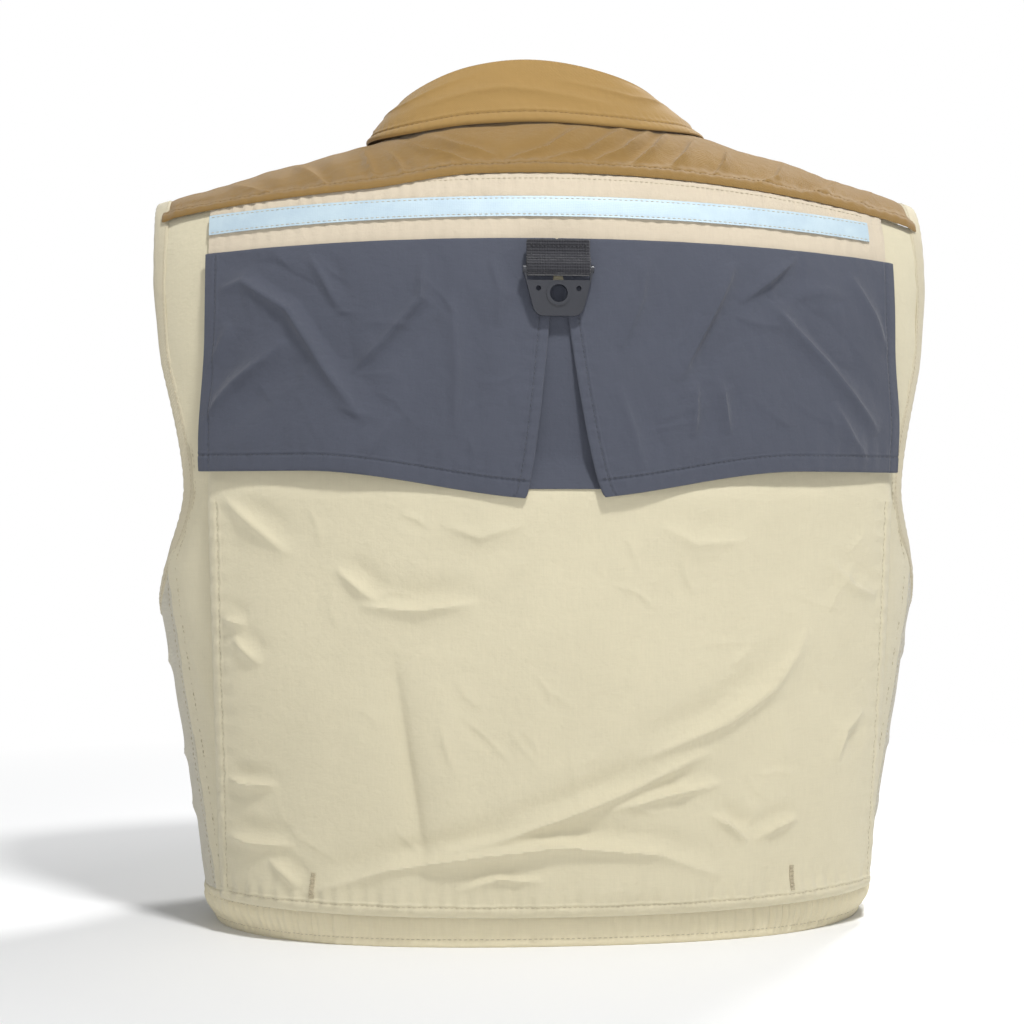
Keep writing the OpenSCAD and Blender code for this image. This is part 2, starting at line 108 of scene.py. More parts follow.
def bell(d, width):
    """A soft bump of height 1 where d is 0."""
    return np.exp(-((d / width) ** 2))


def quarter(t):
    """A quarter circle's rise from 0 to 1."""
    return np.sqrt(1 - (1 - np.clip(t, 0, 1)) ** 2)


# ---- The body's surface, as in the CAD ----


def half_width(z):
    low = mix(HEM_HALF_W, CHEST_HALF_W, (np.clip(z, 0, ARMPIT_Z) / ARMPIT_Z) ** 1.1)
    return low + TIP_WIDENING * np.maximum(z - ARMPIT_Z, 0) / (TIP_Z - ARMPIT_Z)


def shoulder_z(x):
    return TIP_Z + (TIP_HALF_W + NECK_LIFT - np.sqrt(x * x + NECK_ROUND**2)) * SHOULDER_SLOPE


def skin(angle, z, off):
    """A point from the angle round the body, 0 at the middle of the back, and the height."""
    s = np.sin(np.radians(angle))
    c = np.cos(np.radians(angle))
    x = (half_width(z) + off) * np.sign(s) * np.abs(s) ** (2 / SECTION_N)
    q = np.clip((z - CROWN_Z) / (shoulder_z(x) + off - CROWN_Z), 0, 1)
    crown = (1 - q**CROWN_N) ** (1 / CROWN_N)
    y = (CHEST_HALF_D + off) * np.sign(c) * np.abs(c) ** (2 / SECTION_N) * crown
    return np.stack(np.broadcast_arrays(x, y, z), -1)


def angle_at(x, z):
    return np.sign(x) * np.degrees(np.arcsin(np.clip(np.abs(x) / half_width(z), 0, 1) ** (SECTION_N / 2)))


def on_back(x, z, off):
    return skin(angle_at(x, z), z, off)


def on_front(x, z, off):
    return skin(180 - angle_at(x, z), z, off)


def crest(x, turn, off):
    """A point on the shoulders, with the turn 0 low on the back and 180 low on the front."""
    s = np.sin(np.radians(turn))
    c = np.cos(np.radians(turn))
    z = CROWN_Z + (shoulder_z(x) + off - CROWN_Z) * np.abs(s) ** (2 / CROWN_N)
    across = np.clip(np.abs(x) / (half_width(z) + off), 0, 1)
    deep = (CHEST_HALF_D + off) * (1 - across**SECTION_N) ** (1 / SECTION_N)
    return np.stack(np.broadcast_arrays(x, deep * np.sign(c) * np.abs(c) ** (2 / CROWN_N), z), -1)


def turn_at(x, z):
    q = np.clip((z - CROWN_Z) / (shoulder_z(x) - CROWN_Z), 0, 1)
    return np.degrees(np.arcsin(q ** (CROWN_N / 2)))


# ---- Edges shared by neighbouring pieces ----


def yoke_edge_z(x):
    return 485 - 24 * (x / 240) ** 2


def cape_top(x):
    return 438.5 - 8 * (x / 222) ** 2


def strip_mid(x):
    return 461.5 - 10 * (x / 222) ** 2


def cape_foot(x):
    return mix(278, 296, ease(np.abs(x) / 150))


# The outer layers' half widths: they are sewn on a little off centre
CAPE_SIDE = {1: 213, -1: 219}
POCKET_TOP = {1: 214, -1: 221}
POCKET_FOOT = {1: 206, -1: 211}


def side_hug(x):
    return 1 - 0.55 * (np.abs(x) / CAPE_HALF_W) ** 4


def armhole(z, scoop):
    low = ease((z - ARMPIT_Z) / 78)
    high = ease((z - 280) / 140)
    waist_x = ARMHOLE_WAIST_X - scoop
    return mix(CHEST_HALF_W, waist_x, low) + (ARMHOLE_TOP_X - waist_x) * high


def underarm_share(a):
    """How far the angle is from the arm's middle towards the seam on its side, from 0 to 1."""
    return np.abs(a - 90) / np.where(a < 90, 90 - BACK_SEAM, SEAM_ANGLE - 90)


def underarm_z(a):
    return ARMPIT_Z + UNDERARM_RISE * underarm_share(a) ** 1.6


def binding_inset(z):
    return mix(0.7, 1, ease((z - 380) / 80)) * BINDING_W


def tucked_edge(z, scoop):
    """The panel's edge as sewn: the side seam, and above the armpit a line inside the folded binding."""
    seam = SEAM_ANGLE + 0.3 if scoop else 180 - BACK_SEAM
    seam_x = skin(seam, z, 0)[..., 0]
    inside = armhole(z, scoop) - binding_inset(z) + BINDING_TUCK
    return np.where(z < ARMPIT_Z, seam_x, np.minimum(inside, seam_x))


def neck_turn(share, back_z):
    s = np.clip(np.abs(share), 0, 1)
    return mix(turn_at(0.0, back_z), 90, 1 - np.sqrt(1 - s**2.4))


def front_share(turn):
    return np.cos(np.radians(80 * (turn - 90) / (NECKLINE_TURN - 90)))


# ---- Relief of the cloth, in millimetres out from its smooth surface ----


def ripple(x, z, size, seed):
    """Soft unevenness, mostly between -1 and 1, with bumps about that size across."""
    rng = np.random.default_rng(seed)
    total = 0
    for _ in range(7):
        heading, phase = rng.uniform(0, 2 * pi, 2)
        length = size * rng.uniform(0.8, 2.2)
        total = total + np.sin((x * cos(heading) + z * sin(heading)) * 2 * pi / length + phase)
    return total / 3.5


def distance_along(x, z, points):
    """Signed distance to a line through the points, and the share of its length at the nearest point."""
    points = np.array(points, float)
    steps = np.hypot(*(points[1:] - points[:-1]).T)
    starts = np.concatenate([[0], np.cumsum(steps)])
    near, share = None, None
    for k, step in enumerate(steps):
        ax, az = points[k]
        dx, dz = (points[k + 1] - points[k]) / step
        along = np.clip((x - ax) * dx + (z - az) * dz, 0, step)
        px, pz = x - ax - along * dx, z - az - along * dz
        d = np.hypot(px, pz) * np.where(dx * pz - dz * px < 0, -1, 1)
        s = (starts[k] + along) / starts[-1]
        if near is None:
            near, share = d, s
        else:
            closer = np.abs(d) < np.abs(near)
            near, share = np.where(closer, d, near), np.where(closer, s, share)
    return near, share


def folds(x, z, lines):
    """Creases. Each is its points (x, z), its height and its half width; the far side is steeper."""
    total = 0
    for points, height, width in lines:
        d, share = distance_along(x, z, points)
        wide = np.where(d < 0, width * 0.4, width * 0.8)
        crest_line = np.exp(-(np.sqrt(d * d + (0.25 * wide) ** 2) - 0.25 * wide) / (0.6 * wide))
        fade = np.sin(pi * np.clip(share, 0, 1)) ** 0.7
        trough = 0.45 * bell(d + 1.5 * width, width)
        total = total + height * fade * (crest_line - trough)
    return total


def crinkles(x, z, seed, count, x_range, z_range, height):
    """Many short, faint creases, of a garment that has been washed and folded."""
    rng = np.random.default_rng(seed)
    lines = []
    for _ in range(count):
        x0, z0 = rng.uniform(*x_range), rng.uniform(*z_range)
        heading, long, bend = rng.uniform(0, pi), rng.uniform(14, 46), rng.uniform(-0.5, 0.5)
        x1, z1 = x0 + long * cos(heading) / 2, z0 + long * sin(heading) / 2
        x2, z2 = x1 + long * cos(heading + bend) / 2, z1 + long * sin(heading + bend) / 2
        lines.append(([(x0, z0), (x1, z1), (x2, z2)], height * rng.uniform(0.3, 1), rng.uniform(2.5, 5)))
    return folds(x, z, lines)


def hem(d, width, swell=0.5):
    """A folded edge: thicker within its width, with a groove where its stitching pulls in."""
    return swell * (1 - ease((d - width) / 1.2)) - 0.55 * bell(d - width + 1.2, 0.9)


def pucker(along, d, width, step, seed):
    """Small gathers across a stitched edge, along it."""
    shift = 0.25 * step * ripple(along, 0 * along, 6 * step, seed)
    return np.sin((along + shift) * 2 * pi / step) * bell(d - width, width)


# ---- Meshes ----


def spaced(start, end, step):
    """Even positions from start to end, about that far apart."""
    return np.linspace(start, end, max(int(round((end - start) / step)), 2) + 1)


def new_object(name, points, faces, material):
    mesh = bpy.data.meshes.new(name)
    mesh.from_pydata((np.asarray(points) * MM).tolist(), [], faces)
    mesh.materials.append(material)
    obj = bpy.data.objects.new(name, mesh)
    bpy.context.scene.collection.objects.link(obj)
    return obj


def face_outwards(obj, sharp=50):
    """Face normals all turned outwards, smooth apart from edges sharper than the angle."""
    bm = bmesh.new()
    bm.from_mesh(obj.data)
    bmesh.ops.recalc_face_normals(bm, faces=bm.faces)
    for face in bm.faces:
        face.smooth = True
    for edge in bm.edges:
        if len(edge.link_faces) == 2 and edge.calc_face_angle(0) > radians(sharp):
            edge.smooth = False
    bm.to_mesh(obj.data)
    bm.free()


def lengths(points, axis):
    """Distance along each row or column of a grid of points, from its first point."""
    step = np.linalg.norm(np.diff(points, axis=axis), axis=-1)
    start = np.zeros_like(np.take(step, [0], axis=axis))
    return np.concatenate([start, np.cumsum(step, axis=axis)], axis=axis)


def set_grain(obj, grain):
    """The place of each vertex on the flat cloth, in millimetres, kept as UVs in metres."""
    corners = np.zeros(len(obj.data.loops), int)
    obj.data.loops.foreach_get("vertex_index", corners)
    obj.data.uv_layers.new(name="grain").data.foreach_set("uv", (grain * MM)[corners].ravel())


def sheet_mesh(name, outer, inner, material):
    """A sheet between two grids of points, with a rounded rim and the cloth's own grain as its UVs."""
    rows, cols = outer.shape[:2]
    size = rows * cols
    grid = np.arange(size).reshape(rows, cols)
    quads = np.stack([grid[:-1, :-1], grid[:-1, 1:], grid[1:, 1:], grid[1:, :-1]], -1).reshape(-1, 4)
    rim = np.concatenate([grid[0, :-1], grid[:-1, -1], grid[-1, :0:-1], grid[:0:-1, 0]])
    row, col = rim // cols, rim % cols
    inside = np.clip(row, 1, rows - 2) * cols + np.clip(col, 1, cols - 2)
    out_points, in_points = outer.reshape(-1, 3), inner.reshape(-1, 3)
    away = out_points[rim] - out_points[inside]
    away /= np.maximum(np.linalg.norm(away, axis=1, keepdims=True), 1e-6)
    thick = np.linalg.norm(out_points[rim] - in_points[rim], axis=1, keepdims=True)
    middle = (out_points[rim] + in_points[rim]) / 2 + away * thick * 0.4
    nearby = np.roll(rim, -1)
    mid = 2 * size + np.arange(len(rim))
    next_mid = np.roll(mid, -1)
    edges = [
        np.stack([rim, nearby, next_mid, mid], -1),
        np.stack([mid, next_mid, nearby + size, rim + size], -1),
    ]
    faces = np.concatenate([quads, quads[:, ::-1] + size, *edges])
    points = np.concatenate([out_points, in_points, middle])
    obj = new_object(name, points, faces.tolist(), material)
    across, up = lengths(outer, 1), lengths(outer, 0)
    across = across - across[:, cols // 2 : cols // 2 + 1]
    grain = np.stack([across, up], -1).reshape(-1, 2)
    face_outwards(obj)
    set_grain(obj, np.concatenate([grain, grain, grain[rim]]))
    return obj


def add_cloth(name, face, u, v, thick, material, nodes, body):
    """A piece of cloth. face(u, v, lift) gives points that far out from its outer side, lift 0 on it."""
    uu, vv = np.meshgrid(u, v)
    outer, inner = face(uu, vv, 0.0), face(uu, vv, -float(thick))
    obj = sheet_mesh(name, outer, inner, material)
    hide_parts(*nodes)
    move_with(obj, body)
    width = lengths(outer, 1)[:, -1].mean() * MM
    length = lengths(outer, 0)[-1].mean() * MM
    return obj


def move_with(obj, body):
    """Rides on one body; a piece over a shoulder or on a flap is left in place, on no body."""
    if body.startswith("shoulder_"):
        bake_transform(obj)
    elif "_flap_" in body:
        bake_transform(obj)
    else:
        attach(obj, body)


def stitch_line(face, us, vs, pitch=3.4, length=2.6, radius=0.24):
    """Points and faces of a row of stitches that follow the path us, vs over a piece's face."""
    us, vs = np.broadcast_arrays(np.asarray(us, float), np.asarray(vs, float))
    path = face(us, vs, 0.0)
    travelled = lengths(path, 0)
    count = max(int(travelled[-1] / pitch), 1)
    begins = (np.arange(count) + 0.5) * travelled[-1] / count - length / 2
    shares = np.array([0, 0.18, 0.5, 0.82, 1])
    lift = np.array([-0.35, 0.1, 0.2, 0.1, -0.35])
    swell = np.array([0.5, 0.95, 1, 0.95, 0.5])
    at = begins[:, None] + shares * length
    su, sv = np.interp(at, travelled, us), np.interp(at, travelled, vs)
    centre = face(su, sv, lift)
    out = face(su, sv, lift + 1.0) - centre
    out /= np.linalg.norm(out, axis=-1, keepdims=True)
    run = centre[:, -1:] - centre[:, :1]
    run /= np.linalg.norm(run, axis=-1, keepdims=True)
    side = np.cross(run, out)
    turns = np.arange(6) * pi / 3
    spokes = np.cos(turns)[:, None] * side[..., None, :] + np.sin(turns)[:, None] * out[..., None, :]
    points = centre[..., None, :] + spokes * (radius * swell)[:, None, None]
    ring = np.arange(6)
    one = np.concatenate(
        [k * 6 + np.stack([ring, (ring + 1) % 6, 6 + (ring + 1) % 6, 6 + ring], -1) for k in range(4)]
    )
    faces = (one[None] + 30 * np.arange(count)[:, None, None]).reshape(-1, 4)
    return points.reshape(-1, 3), faces


def add_stitches(name, rows, material, body, pitch=3.4, length=2.6, radius=0.24):
    """One mesh of stitching. Each row is a face function and the path over it."""
    all_points, all_faces, base = [], [], 0
    for face, us, vs in rows:
        points, faces = stitch_line(face, us, vs, pitch, length, radius)
        all_points.append(points)
        all_faces.append(faces + base)
        base += len(points)
    obj = new_object(name, np.concatenate(all_points), np.concatenate(all_faces).tolist(), material)
    face_outwards(obj, 80)
    move_with(obj, body)
    return obj


def mirrored(face):
    """The same face on the wearer's right."""
    def other(u, v, lift):
        return face(u, v, lift) * np.array([-1, 1, 1])
    return other


SIDES = {"left": 1, "right": -1}


def slumping(face):
    """The same face with the lower left shoulder."""
    def other(u, v, lift):
        return slumped(face(u, v, lift))
    return other


def for_side(face, side):
    return face if side == "left" else mirrored(face)


# ---- Materials ----


class Nodes:
    """A material's node tree, with a short way to add and join nodes."""

    def __init__(self, name):
        self.material = bpy.data.materials.new(name)
        self.material.use_nodes = True
        self.tree = self.material.node_tree
        self.shader = self.tree.nodes["Principled BSDF"]

    def add(self, kind, inputs=None, **settings):
        node = self.tree.nodes.new(kind)
        for key, value in settings.items():
            setattr(node, key, value)
        for key, value in (inputs or {}).items():
            if isinstance(value, bpy.types.NodeSocket):
                self.tree.links.new(value, node.inputs[key])
            else:
                node.inputs[key].default_value = value
        return node

    def math(self, operation, a, b=0.0):
        return self.add("ShaderNodeMath", {0: a, 1: b}, operation=operation).outputs[0]

    def link(self, output, name):
        self.tree.links.new(output, self.shader.inputs[name])


def cloth_material(name, colour, thread=0.8, weave="plain", rough=0.88, sheen=0.25, bump=0.5, mottle=0.08,
                   streaks=0.05, cut=True):
    """Woven cloth: threads that cross each way, uneven dye, thread streaks, painted shade between the threads
    and small soft creases.
    """
    n = Nodes(name)
    if cut:
        grain = n.add("ShaderNodeUVMap", uv_map="grain").outputs[0]
    else:
        grain = n.add("ShaderNodeTexCoord").outputs["Object"]
    split = n.add("ShaderNodeSeparateXYZ", {0: grain})
    turn = 2 * pi / (thread * MM)
    warp = n.math("MULTIPLY", split.outputs[0], turn)
    weft = n.math("MULTIPLY", split.outputs[1], turn)
    if weave == "twill":
        diagonal = n.math("SINE", n.math("ADD", n.math("MULTIPLY", warp, 0.5), n.math("MULTIPLY", weft, 0.8)))
        height = n.math("ADD", diagonal, n.math("MULTIPLY", n.math("SINE", warp), 0.3))
    elif weave == "rib":
        height = n.math("ADD", n.math("SINE", weft), n.math("MULTIPLY", n.math("SINE", warp), 0.35))
    else:
        height = n.math("MULTIPLY", n.math("SINE", warp), n.math("SINE", weft))
    place = n.add("ShaderNodeTexCoord").outputs["Object"]
    dye = n.add("ShaderNodeTexNoise", {"Vector": place, "Scale": 26.0, "Detail": 5.0, "Roughness": 0.6})
    stretch = n.add("ShaderNodeMapping", {"Vector": grain, "Scale": (1500.0, 60.0, 1.0)})
    threads = n.add("ShaderNodeTexNoise", {"Vector": stretch.outputs[0], "Scale": 1.0, "Detail": 2.0})
    cross = n.add("ShaderNodeMapping", {"Vector": grain, "Scale": (60.0, 1500.0, 1.0)})
    threads_up = n.add("ShaderNodeTexNoise", {"Vector": cross.outputs[0], "Scale": 1.0, "Detail": 2.0})
    slub = n.math("ADD", threads.outputs[0], threads_up.outputs[0])
    tone = n.math("ADD", n.math("MULTIPLY", n.math("SUBTRACT", dye.outputs[0], 0.5), mottle * 4),
                  n.math("MULTIPLY", n.math("SUBTRACT", slub, 1.0), streaks * 4))
    # The weave's height tints the colour too: painted shade in the hollows between threads and painted
    # highlight on their crests.
    tone = n.math("ADD", tone, n.math("MULTIPLY", height, 0.035))
    share = n.add("ShaderNodeMapRange", {"Value": tone, "From Min": -0.5, "From Max": 0.5})
    dark = tuple(c * 0.72 for c in colour) + (1,)
    light = tuple(min(c * 1.28, 0.97) for c in colour) + (1,)
    tint = n.add("ShaderNodeMix", data_type="RGBA")
    n.tree.links.new(share.outputs[0], tint.inputs[0])
    tint.inputs[6].default_value = dark
    tint.inputs[7].default_value = light
    n.link(tint.outputs[2], "Base Color")
    uneven = n.add("ShaderNodeMapRange",
                   {"Value": dye.outputs[0], "To Min": rough - 0.07, "To Max": min(rough + 0.07, 1)})
    n.link(uneven.outputs[0], "Roughness")
    soft = n.add("ShaderNodeTexNoise", {"Vector": place, "Scale": 190.0, "Detail": 4.0, "Roughness": 0.55})
    rumple = n.add("ShaderNodeBump", {"Height": soft.outputs[0], "Strength": bump, "Distance": 0.0012})
    knit = n.add("ShaderNodeBump", {"Height": height, "Strength": bump, "Distance": 0.00016,
                                    "Normal": rumple.outputs[0]})
    n.link(knit.outputs[0], "Normal")
    n.shader.inputs["Sheen Weight"].default_value = sheen
    n.shader.inputs["Sheen Roughness"].default_value = 0.5
    n.shader.inputs["Specular IOR Level"].default_value = 0.25
    return n.material


def hard_material(name, colour, rough, metal=0.0, grain=900.0, depth=0.00005, coat=0.0):
    """Moulded plastic or plated metal, with fine grain and faint handling marks."""
    n = Nodes(name)
    place = n.add("ShaderNodeTexCoord").outputs["Object"]
    fine = n.add("ShaderNodeTexNoise", {"Vector": place, "Scale": grain, "Detail": 3.0})
    worn = n.add("ShaderNodeTexNoise", {"Vector": place, "Scale": 120.0, "Detail": 5.0, "Roughness": 0.65})
    tint = n.add("ShaderNodeMix", data_type="RGBA")
    n.tree.links.new(worn.outputs[0], tint.inputs[0])
    tint.inputs[6].default_value = tuple(c * 0.8 for c in colour) + (1,)
    tint.inputs[7].default_value = tuple(min(c * 1.25, 0.98) for c in colour) + (1,)
    n.link(tint.outputs[2], "Base Color")
    marks = n.add("ShaderNodeMapRange", {"Value": worn.outputs[0], "From Min": 0.3, "From Max": 0.7,
                                         "To Min": rough * 0.8, "To Max": min(rough * 1.25, 1)})
    n.link(marks.outputs[0], "Roughness")
    bump = n.add("ShaderNodeBump", {"Height": fine.outputs[0], "Strength": 0.6, "Distance": depth})
    n.link(bump.outputs[0], "Normal")
    n.shader.inputs["Metallic"].default_value = metal
    n.shader.inputs["Coat Weight"].default_value = coat
    return n.material


def reflective_material():
    """Retroreflective tape: a silvery film of tiny beads with a fine honeycomb of seal lines."""
    n = Nodes("reflective_tape")
    grain = n.add("ShaderNodeUVMap", uv_map="grain").outputs[0]
    cells = n.add("ShaderNodeTexVoronoi", {"Vector": grain, "Scale": 900.0, "Randomness": 0.3})
    place = n.add("ShaderNodeTexCoord").outputs["Object"]
    scuff = n.add("ShaderNodeTexNoise", {"Vector": place, "Scale": 45.0, "Detail": 6.0, "Roughness": 0.7})
    tint = n.add("ShaderNodeMix", data_type="RGBA")
    n.tree.links.new(scuff.outputs[0], tint.inputs[0])
    tint.inputs[6].default_value = (0.36, 0.47, 0.57, 1)
    tint.inputs[7].default_value = (0.59, 0.71, 0.75, 1)
    n.link(tint.outputs[2], "Base Color")
    marks = n.add("ShaderNodeMapRange", {"Value": scuff.outputs[0], "To Min": 0.4, "To Max": 0.62})
    n.link(marks.outputs[0], "Roughness")
    bump = n.add("ShaderNodeBump", {"Height": cells.outputs["Distance"], "Strength": 0.35,
                                    "Distance": 0.0002})
    n.link(bump.outputs[0], "Normal")
    n.shader.inputs["Metallic"].default_value = 0.08
    n.shader.inputs["Specular IOR Level"].default_value = 0.3
    return n.material


TAN = cloth_material("tan_cloth", (0.270, 0.162, 0.050), 0.9, "twill", mottle=0.05)
TAN_COLLAR = cloth_material("tan_collar_cloth", (0.345, 0.213, 0.07), 0.9, "twill", mottle=0.05)
BEIGE = cloth_material("beige_cloth", (0.66, 0.60, 0.43), 0.8, "plain", mottle=0.035, streaks=0.035)
# The waistband is the back pocket's beige cloth, painted lighter to offset the shade the pocket casts on it.
WAIST_PAINTED_LIGHT = cloth_material("waistband_cloth_painted_light", (0.78, 0.69, 0.49), 0.8, "plain", mottle=0.035, streaks=0.035)
BAND = cloth_material("beige_band_cloth", (0.62, 0.535, 0.41), 0.8, "plain", mottle=0.035, streaks=0.035)
# The side panels' own ribbed cloth, its colour darker than the beige partly as painted shade of the sides
# turning away from the light.
SIDE_SHADED = cloth_material("side_cloth", (0.56, 0.52, 0.41), 0.9, "rib", mottle=0.04)
SLATE = cloth_material("slate_cloth", (0.074, 0.081, 0.107), 0.8, "plain", rough=0.82, sheen=0.2, mottle=0.06)
BINDING = cloth_material("binding_cloth", (0.58, 0.52, 0.375), 1.0, "twill")
WEBBING = cloth_material("black_webbing", (0.024, 0.024, 0.030), 1.9, "rib", rough=0.7, sheen=0.4, bump=1.0)
TAPE = cloth_material("zip_tape_cloth", (0.60, 0.53, 0.38), 1.1, "twill", rough=0.8)
LOOP = cloth_material("loop_tape_cloth", (0.55, 0.49, 0.36), 0.6, "plain", rough=0.97, sheen=0.7, bump=1.0)
LABEL = cloth_material("label_cloth", (0.70, 0.66, 0.55), 0.4, "twill", rough=0.5)
TAB_WEBBING = cloth_material("tab_webbing", (0.024, 0.024, 0.030), 1.9, "rib", rough=0.7, sheen=0.4,
                             bump=1.0, cut=False)
BEIGE_THREAD = cloth_material("beige_thread", (0.52, 0.45, 0.31), 0.5, rough=0.6, streaks=0.1, cut=False)
TAN_THREAD = cloth_material("tan_thread", (0.25, 0.15, 0.045), 0.5, rough=0.6, streaks=0.1, cut=False)
SLATE_THREAD = cloth_material("slate_thread", (0.045, 0.05, 0.066), 0.5, rough=0.6, streaks=0.1, cut=False)
BLACK_THREAD = cloth_material("black_thread", (0.02, 0.02, 0.024), 0.5, rough=0.6, cut=False)
STRIP = reflective_material()
PLASTIC = hard_material("black_plastic", (0.021, 0.023, 0.031), 0.42, coat=0.1)
STEEL = hard_material("plated_steel", (0.62, 0.61, 0.58), 0.28, metal=1.0, grain=1500.0)
BRASS = hard_material("antique_brass", (0.42, 0.34, 0.20), 0.36, metal=1.0, grain=1500.0)
TOOTH = hard_material("beige_plastic", (0.52, 0.46, 0.33), 0.45)

# ---- Yokes and collar ----


def yoke_relief(x, z):
    """Creases that run from the yoke's seam up under the collar, in opposite leans on its two halves."""
    creases = folds(x, z, [
        ([(30, 492), (4, 499), (-20, 517)], 2.0, 3.4),
        ([(4, 491), (-22, 497), (-50, 518)], 2.4, 3.6),
        ([(-26, 491), (-46, 499), (-68, 518)], 2.4, 3.4),
        ([(-50, 489), (-66, 501), (-80, 517)], 2.6, 3.4),
        ([(-76, 488), (-87, 498), (-97, 512)], 2.4, 3.6),
        ([(-104, 482), (-114, 494), (-120, 508)], 1.8, 4),
        ([(100, 514), (80, 500), (52, 489)], 2.4, 3.6),
        ([(76, 512), (58, 500), (36, 495)], 1.8, 3.4),
        ([(120, 508), (117, 494), (112, 482)], 2.0, 3.6),
        ([(106, 506), (98, 494), (94, 484)], 1.8, 3.4),
        ([(166, 500), (150, 488), (140, 476)], 1.6, 4.5),
        ([(206, 486), (186, 478), (170, 470)], 1.4, 5),
        ([(-132, 476), (-150, 486), (-160, 500)], 1.8, 4.5),
        ([(-160, 470), (-184, 478), (-200, 490)], 1.8, 4.5),
        ([(-196, 466), (-212, 472), (-224, 484)], 1.4, 5),
    ])
    return creases + 0.5 * ripple(x, z * 1.3, 34, 3) + 0.15 * ripple(x, z, 9, 4)


YOKE_LAP = 4
YOKE_HALF_W = 249


def back_yoke(u, v, lift):
    """u across from -1 to 1, v from 0 on the rolled lower seam to 1 at the neck."""
    x = YOKE_HALF_W * u
    low = turn_at(x, yoke_edge_z(x) - YOKE_LAP)
    turn = mix(low, neck_turn(x / YOKE_NECK_W, YOKE_NECK_Z), v)
    z = crest(x, turn, 0)[..., 2]
    above = z - (yoke_edge_z(x) - YOKE_LAP)
    lap = 3.1 * (1 - ease((above - 4) / 9))
    roll = 0.9 * bell(above - 2.6, 2.4) - 0.5 * bell(above - 6.6, 1.0)
    gathers = 0.28 * pucker(x, above, 7, 8.5, 5)
    inside = ease(above / 10) * ease((1 - v) * 4) * ease((1 - np.abs(u)) * 9)
    relief = 1.4 * inside * yoke_relief(x, z)
    tuck = 1.3 * (1 - ease((1 - np.abs(u)) * YOKE_HALF_W / 9))
    return slumped(crest(x, turn, 2.6 + lap + roll + gathers + relief - tuck + lift))


def front_yoke(u, v, lift):
    """u from the neck's edge to the armhole, v from the lower seam to the shoulder line."""
    z_low = FRONT_YOKE_Z + 0.5
    guide = mix(180 - turn_at(0.0, z_low), 90.6, v)
    inner = YOKE_NECK_W * front_share(np.minimum(guide, NECKLINE_TURN))
    outer = mix(tucked_edge(np.array(float(z_low)), FRONT_SCOOP), YOKE_HALF_W, ease(v))
    x = mix(inner, outer, u)
    turn = mix(180 - turn_at(x, z_low), 90.0, v)
    z = crest(x, turn, 0)[..., 2]
    creases = folds(x, z, [
        ([(205, 410), (170, 440), (120, 470)], 1.2, 8),
        ([(190, 392), (150, 420), (98, 444)], 1.0, 7),
        ([(120, 392), (100, 430), (92, 470)], 0.9, 7),
        ([(222, 440), (200, 470), (150, 492)], 1.0, 7),
    ])
    inside = ease(v * 8) * ease((1 - v) * 6) * ease(u * 8) * ease((1 - u) * 8)
    above = z - z_low
    seam = 0.7 * bell(above - 2.4, 2.4) - 0.5 * bell(above - 6, 1.0)
    tuck = 1.6 * (1 - ease((1 - u) * (outer - inner) / 9))
    relief = inside * (1.8 * creases + 0.3 * ripple(x, z, 30, 8))
    return crest(x, turn, 2.6 + seam - tuck + relief + lift)


def slumped(points):
    """The shoulder on the wearer's left hangs a little lower, as it does on a figure."""
    drop = 6 * ease((points[..., 0] - 50) / 70) * ease((points[..., 2] - 452) / 34)
    deep = points[..., 1]
    lowered = points.copy()
    lowered[..., 2] -= drop
    lowered[..., 1] += 0.8 * drop * np.sign(deep) * ease(np.abs(deep) / 40)
    return lowered


def inward(f, d):
    d = np.asarray(d, float)
    return np.stack(np.broadcast_arrays(-d * np.sin(np.radians(f)), -d * np.cos(np.radians(f)), -0.3 * d), -1)


def neck_point(f, r, back_z, off):
    f = np.asarray(f, float)
    s = np.sin(np.radians(np.abs(f)))
    behind = np.abs(f) < 90
    turn = np.where(behind, neck_turn(s, back_z), mix(90, NECKLINE_TURN, (np.abs(f) - 90) / (152 - 90)))
    x = np.sign(f) * r * np.where(behind, s, front_share(turn))
    return crest(x, turn, off)


def collar_fold(f):
    lift = 6 + 28 * np.maximum(np.cos(np.radians(f)), 0)
    return neck_point(f, YOKE_NECK_W, STAND_FOOT_Z - 4, 4) + np.stack([0 * lift, 0 * lift, lift], -1)


def settled(points):
    """The collar leans towards the wearer's left and sags a little there, as worn cloth does."""
    high = ease((points[..., 2] - 500) / 45) * ease((points[..., 1] + 20) / 60)
    shifted = points.copy()
    shifted[..., 0] += 11 * high
    shifted[..., 2] -= high * (0.02 * points[..., 0] + 2 * bell(points[..., 0] + 30, 60) - 1)
    return slumped(shifted)


def leaf_fold(f):
    """The collar's fold, drawn in a little at the sides of the neck."""
    return collar_fold(f) * np.array([0.95, 1, 1])


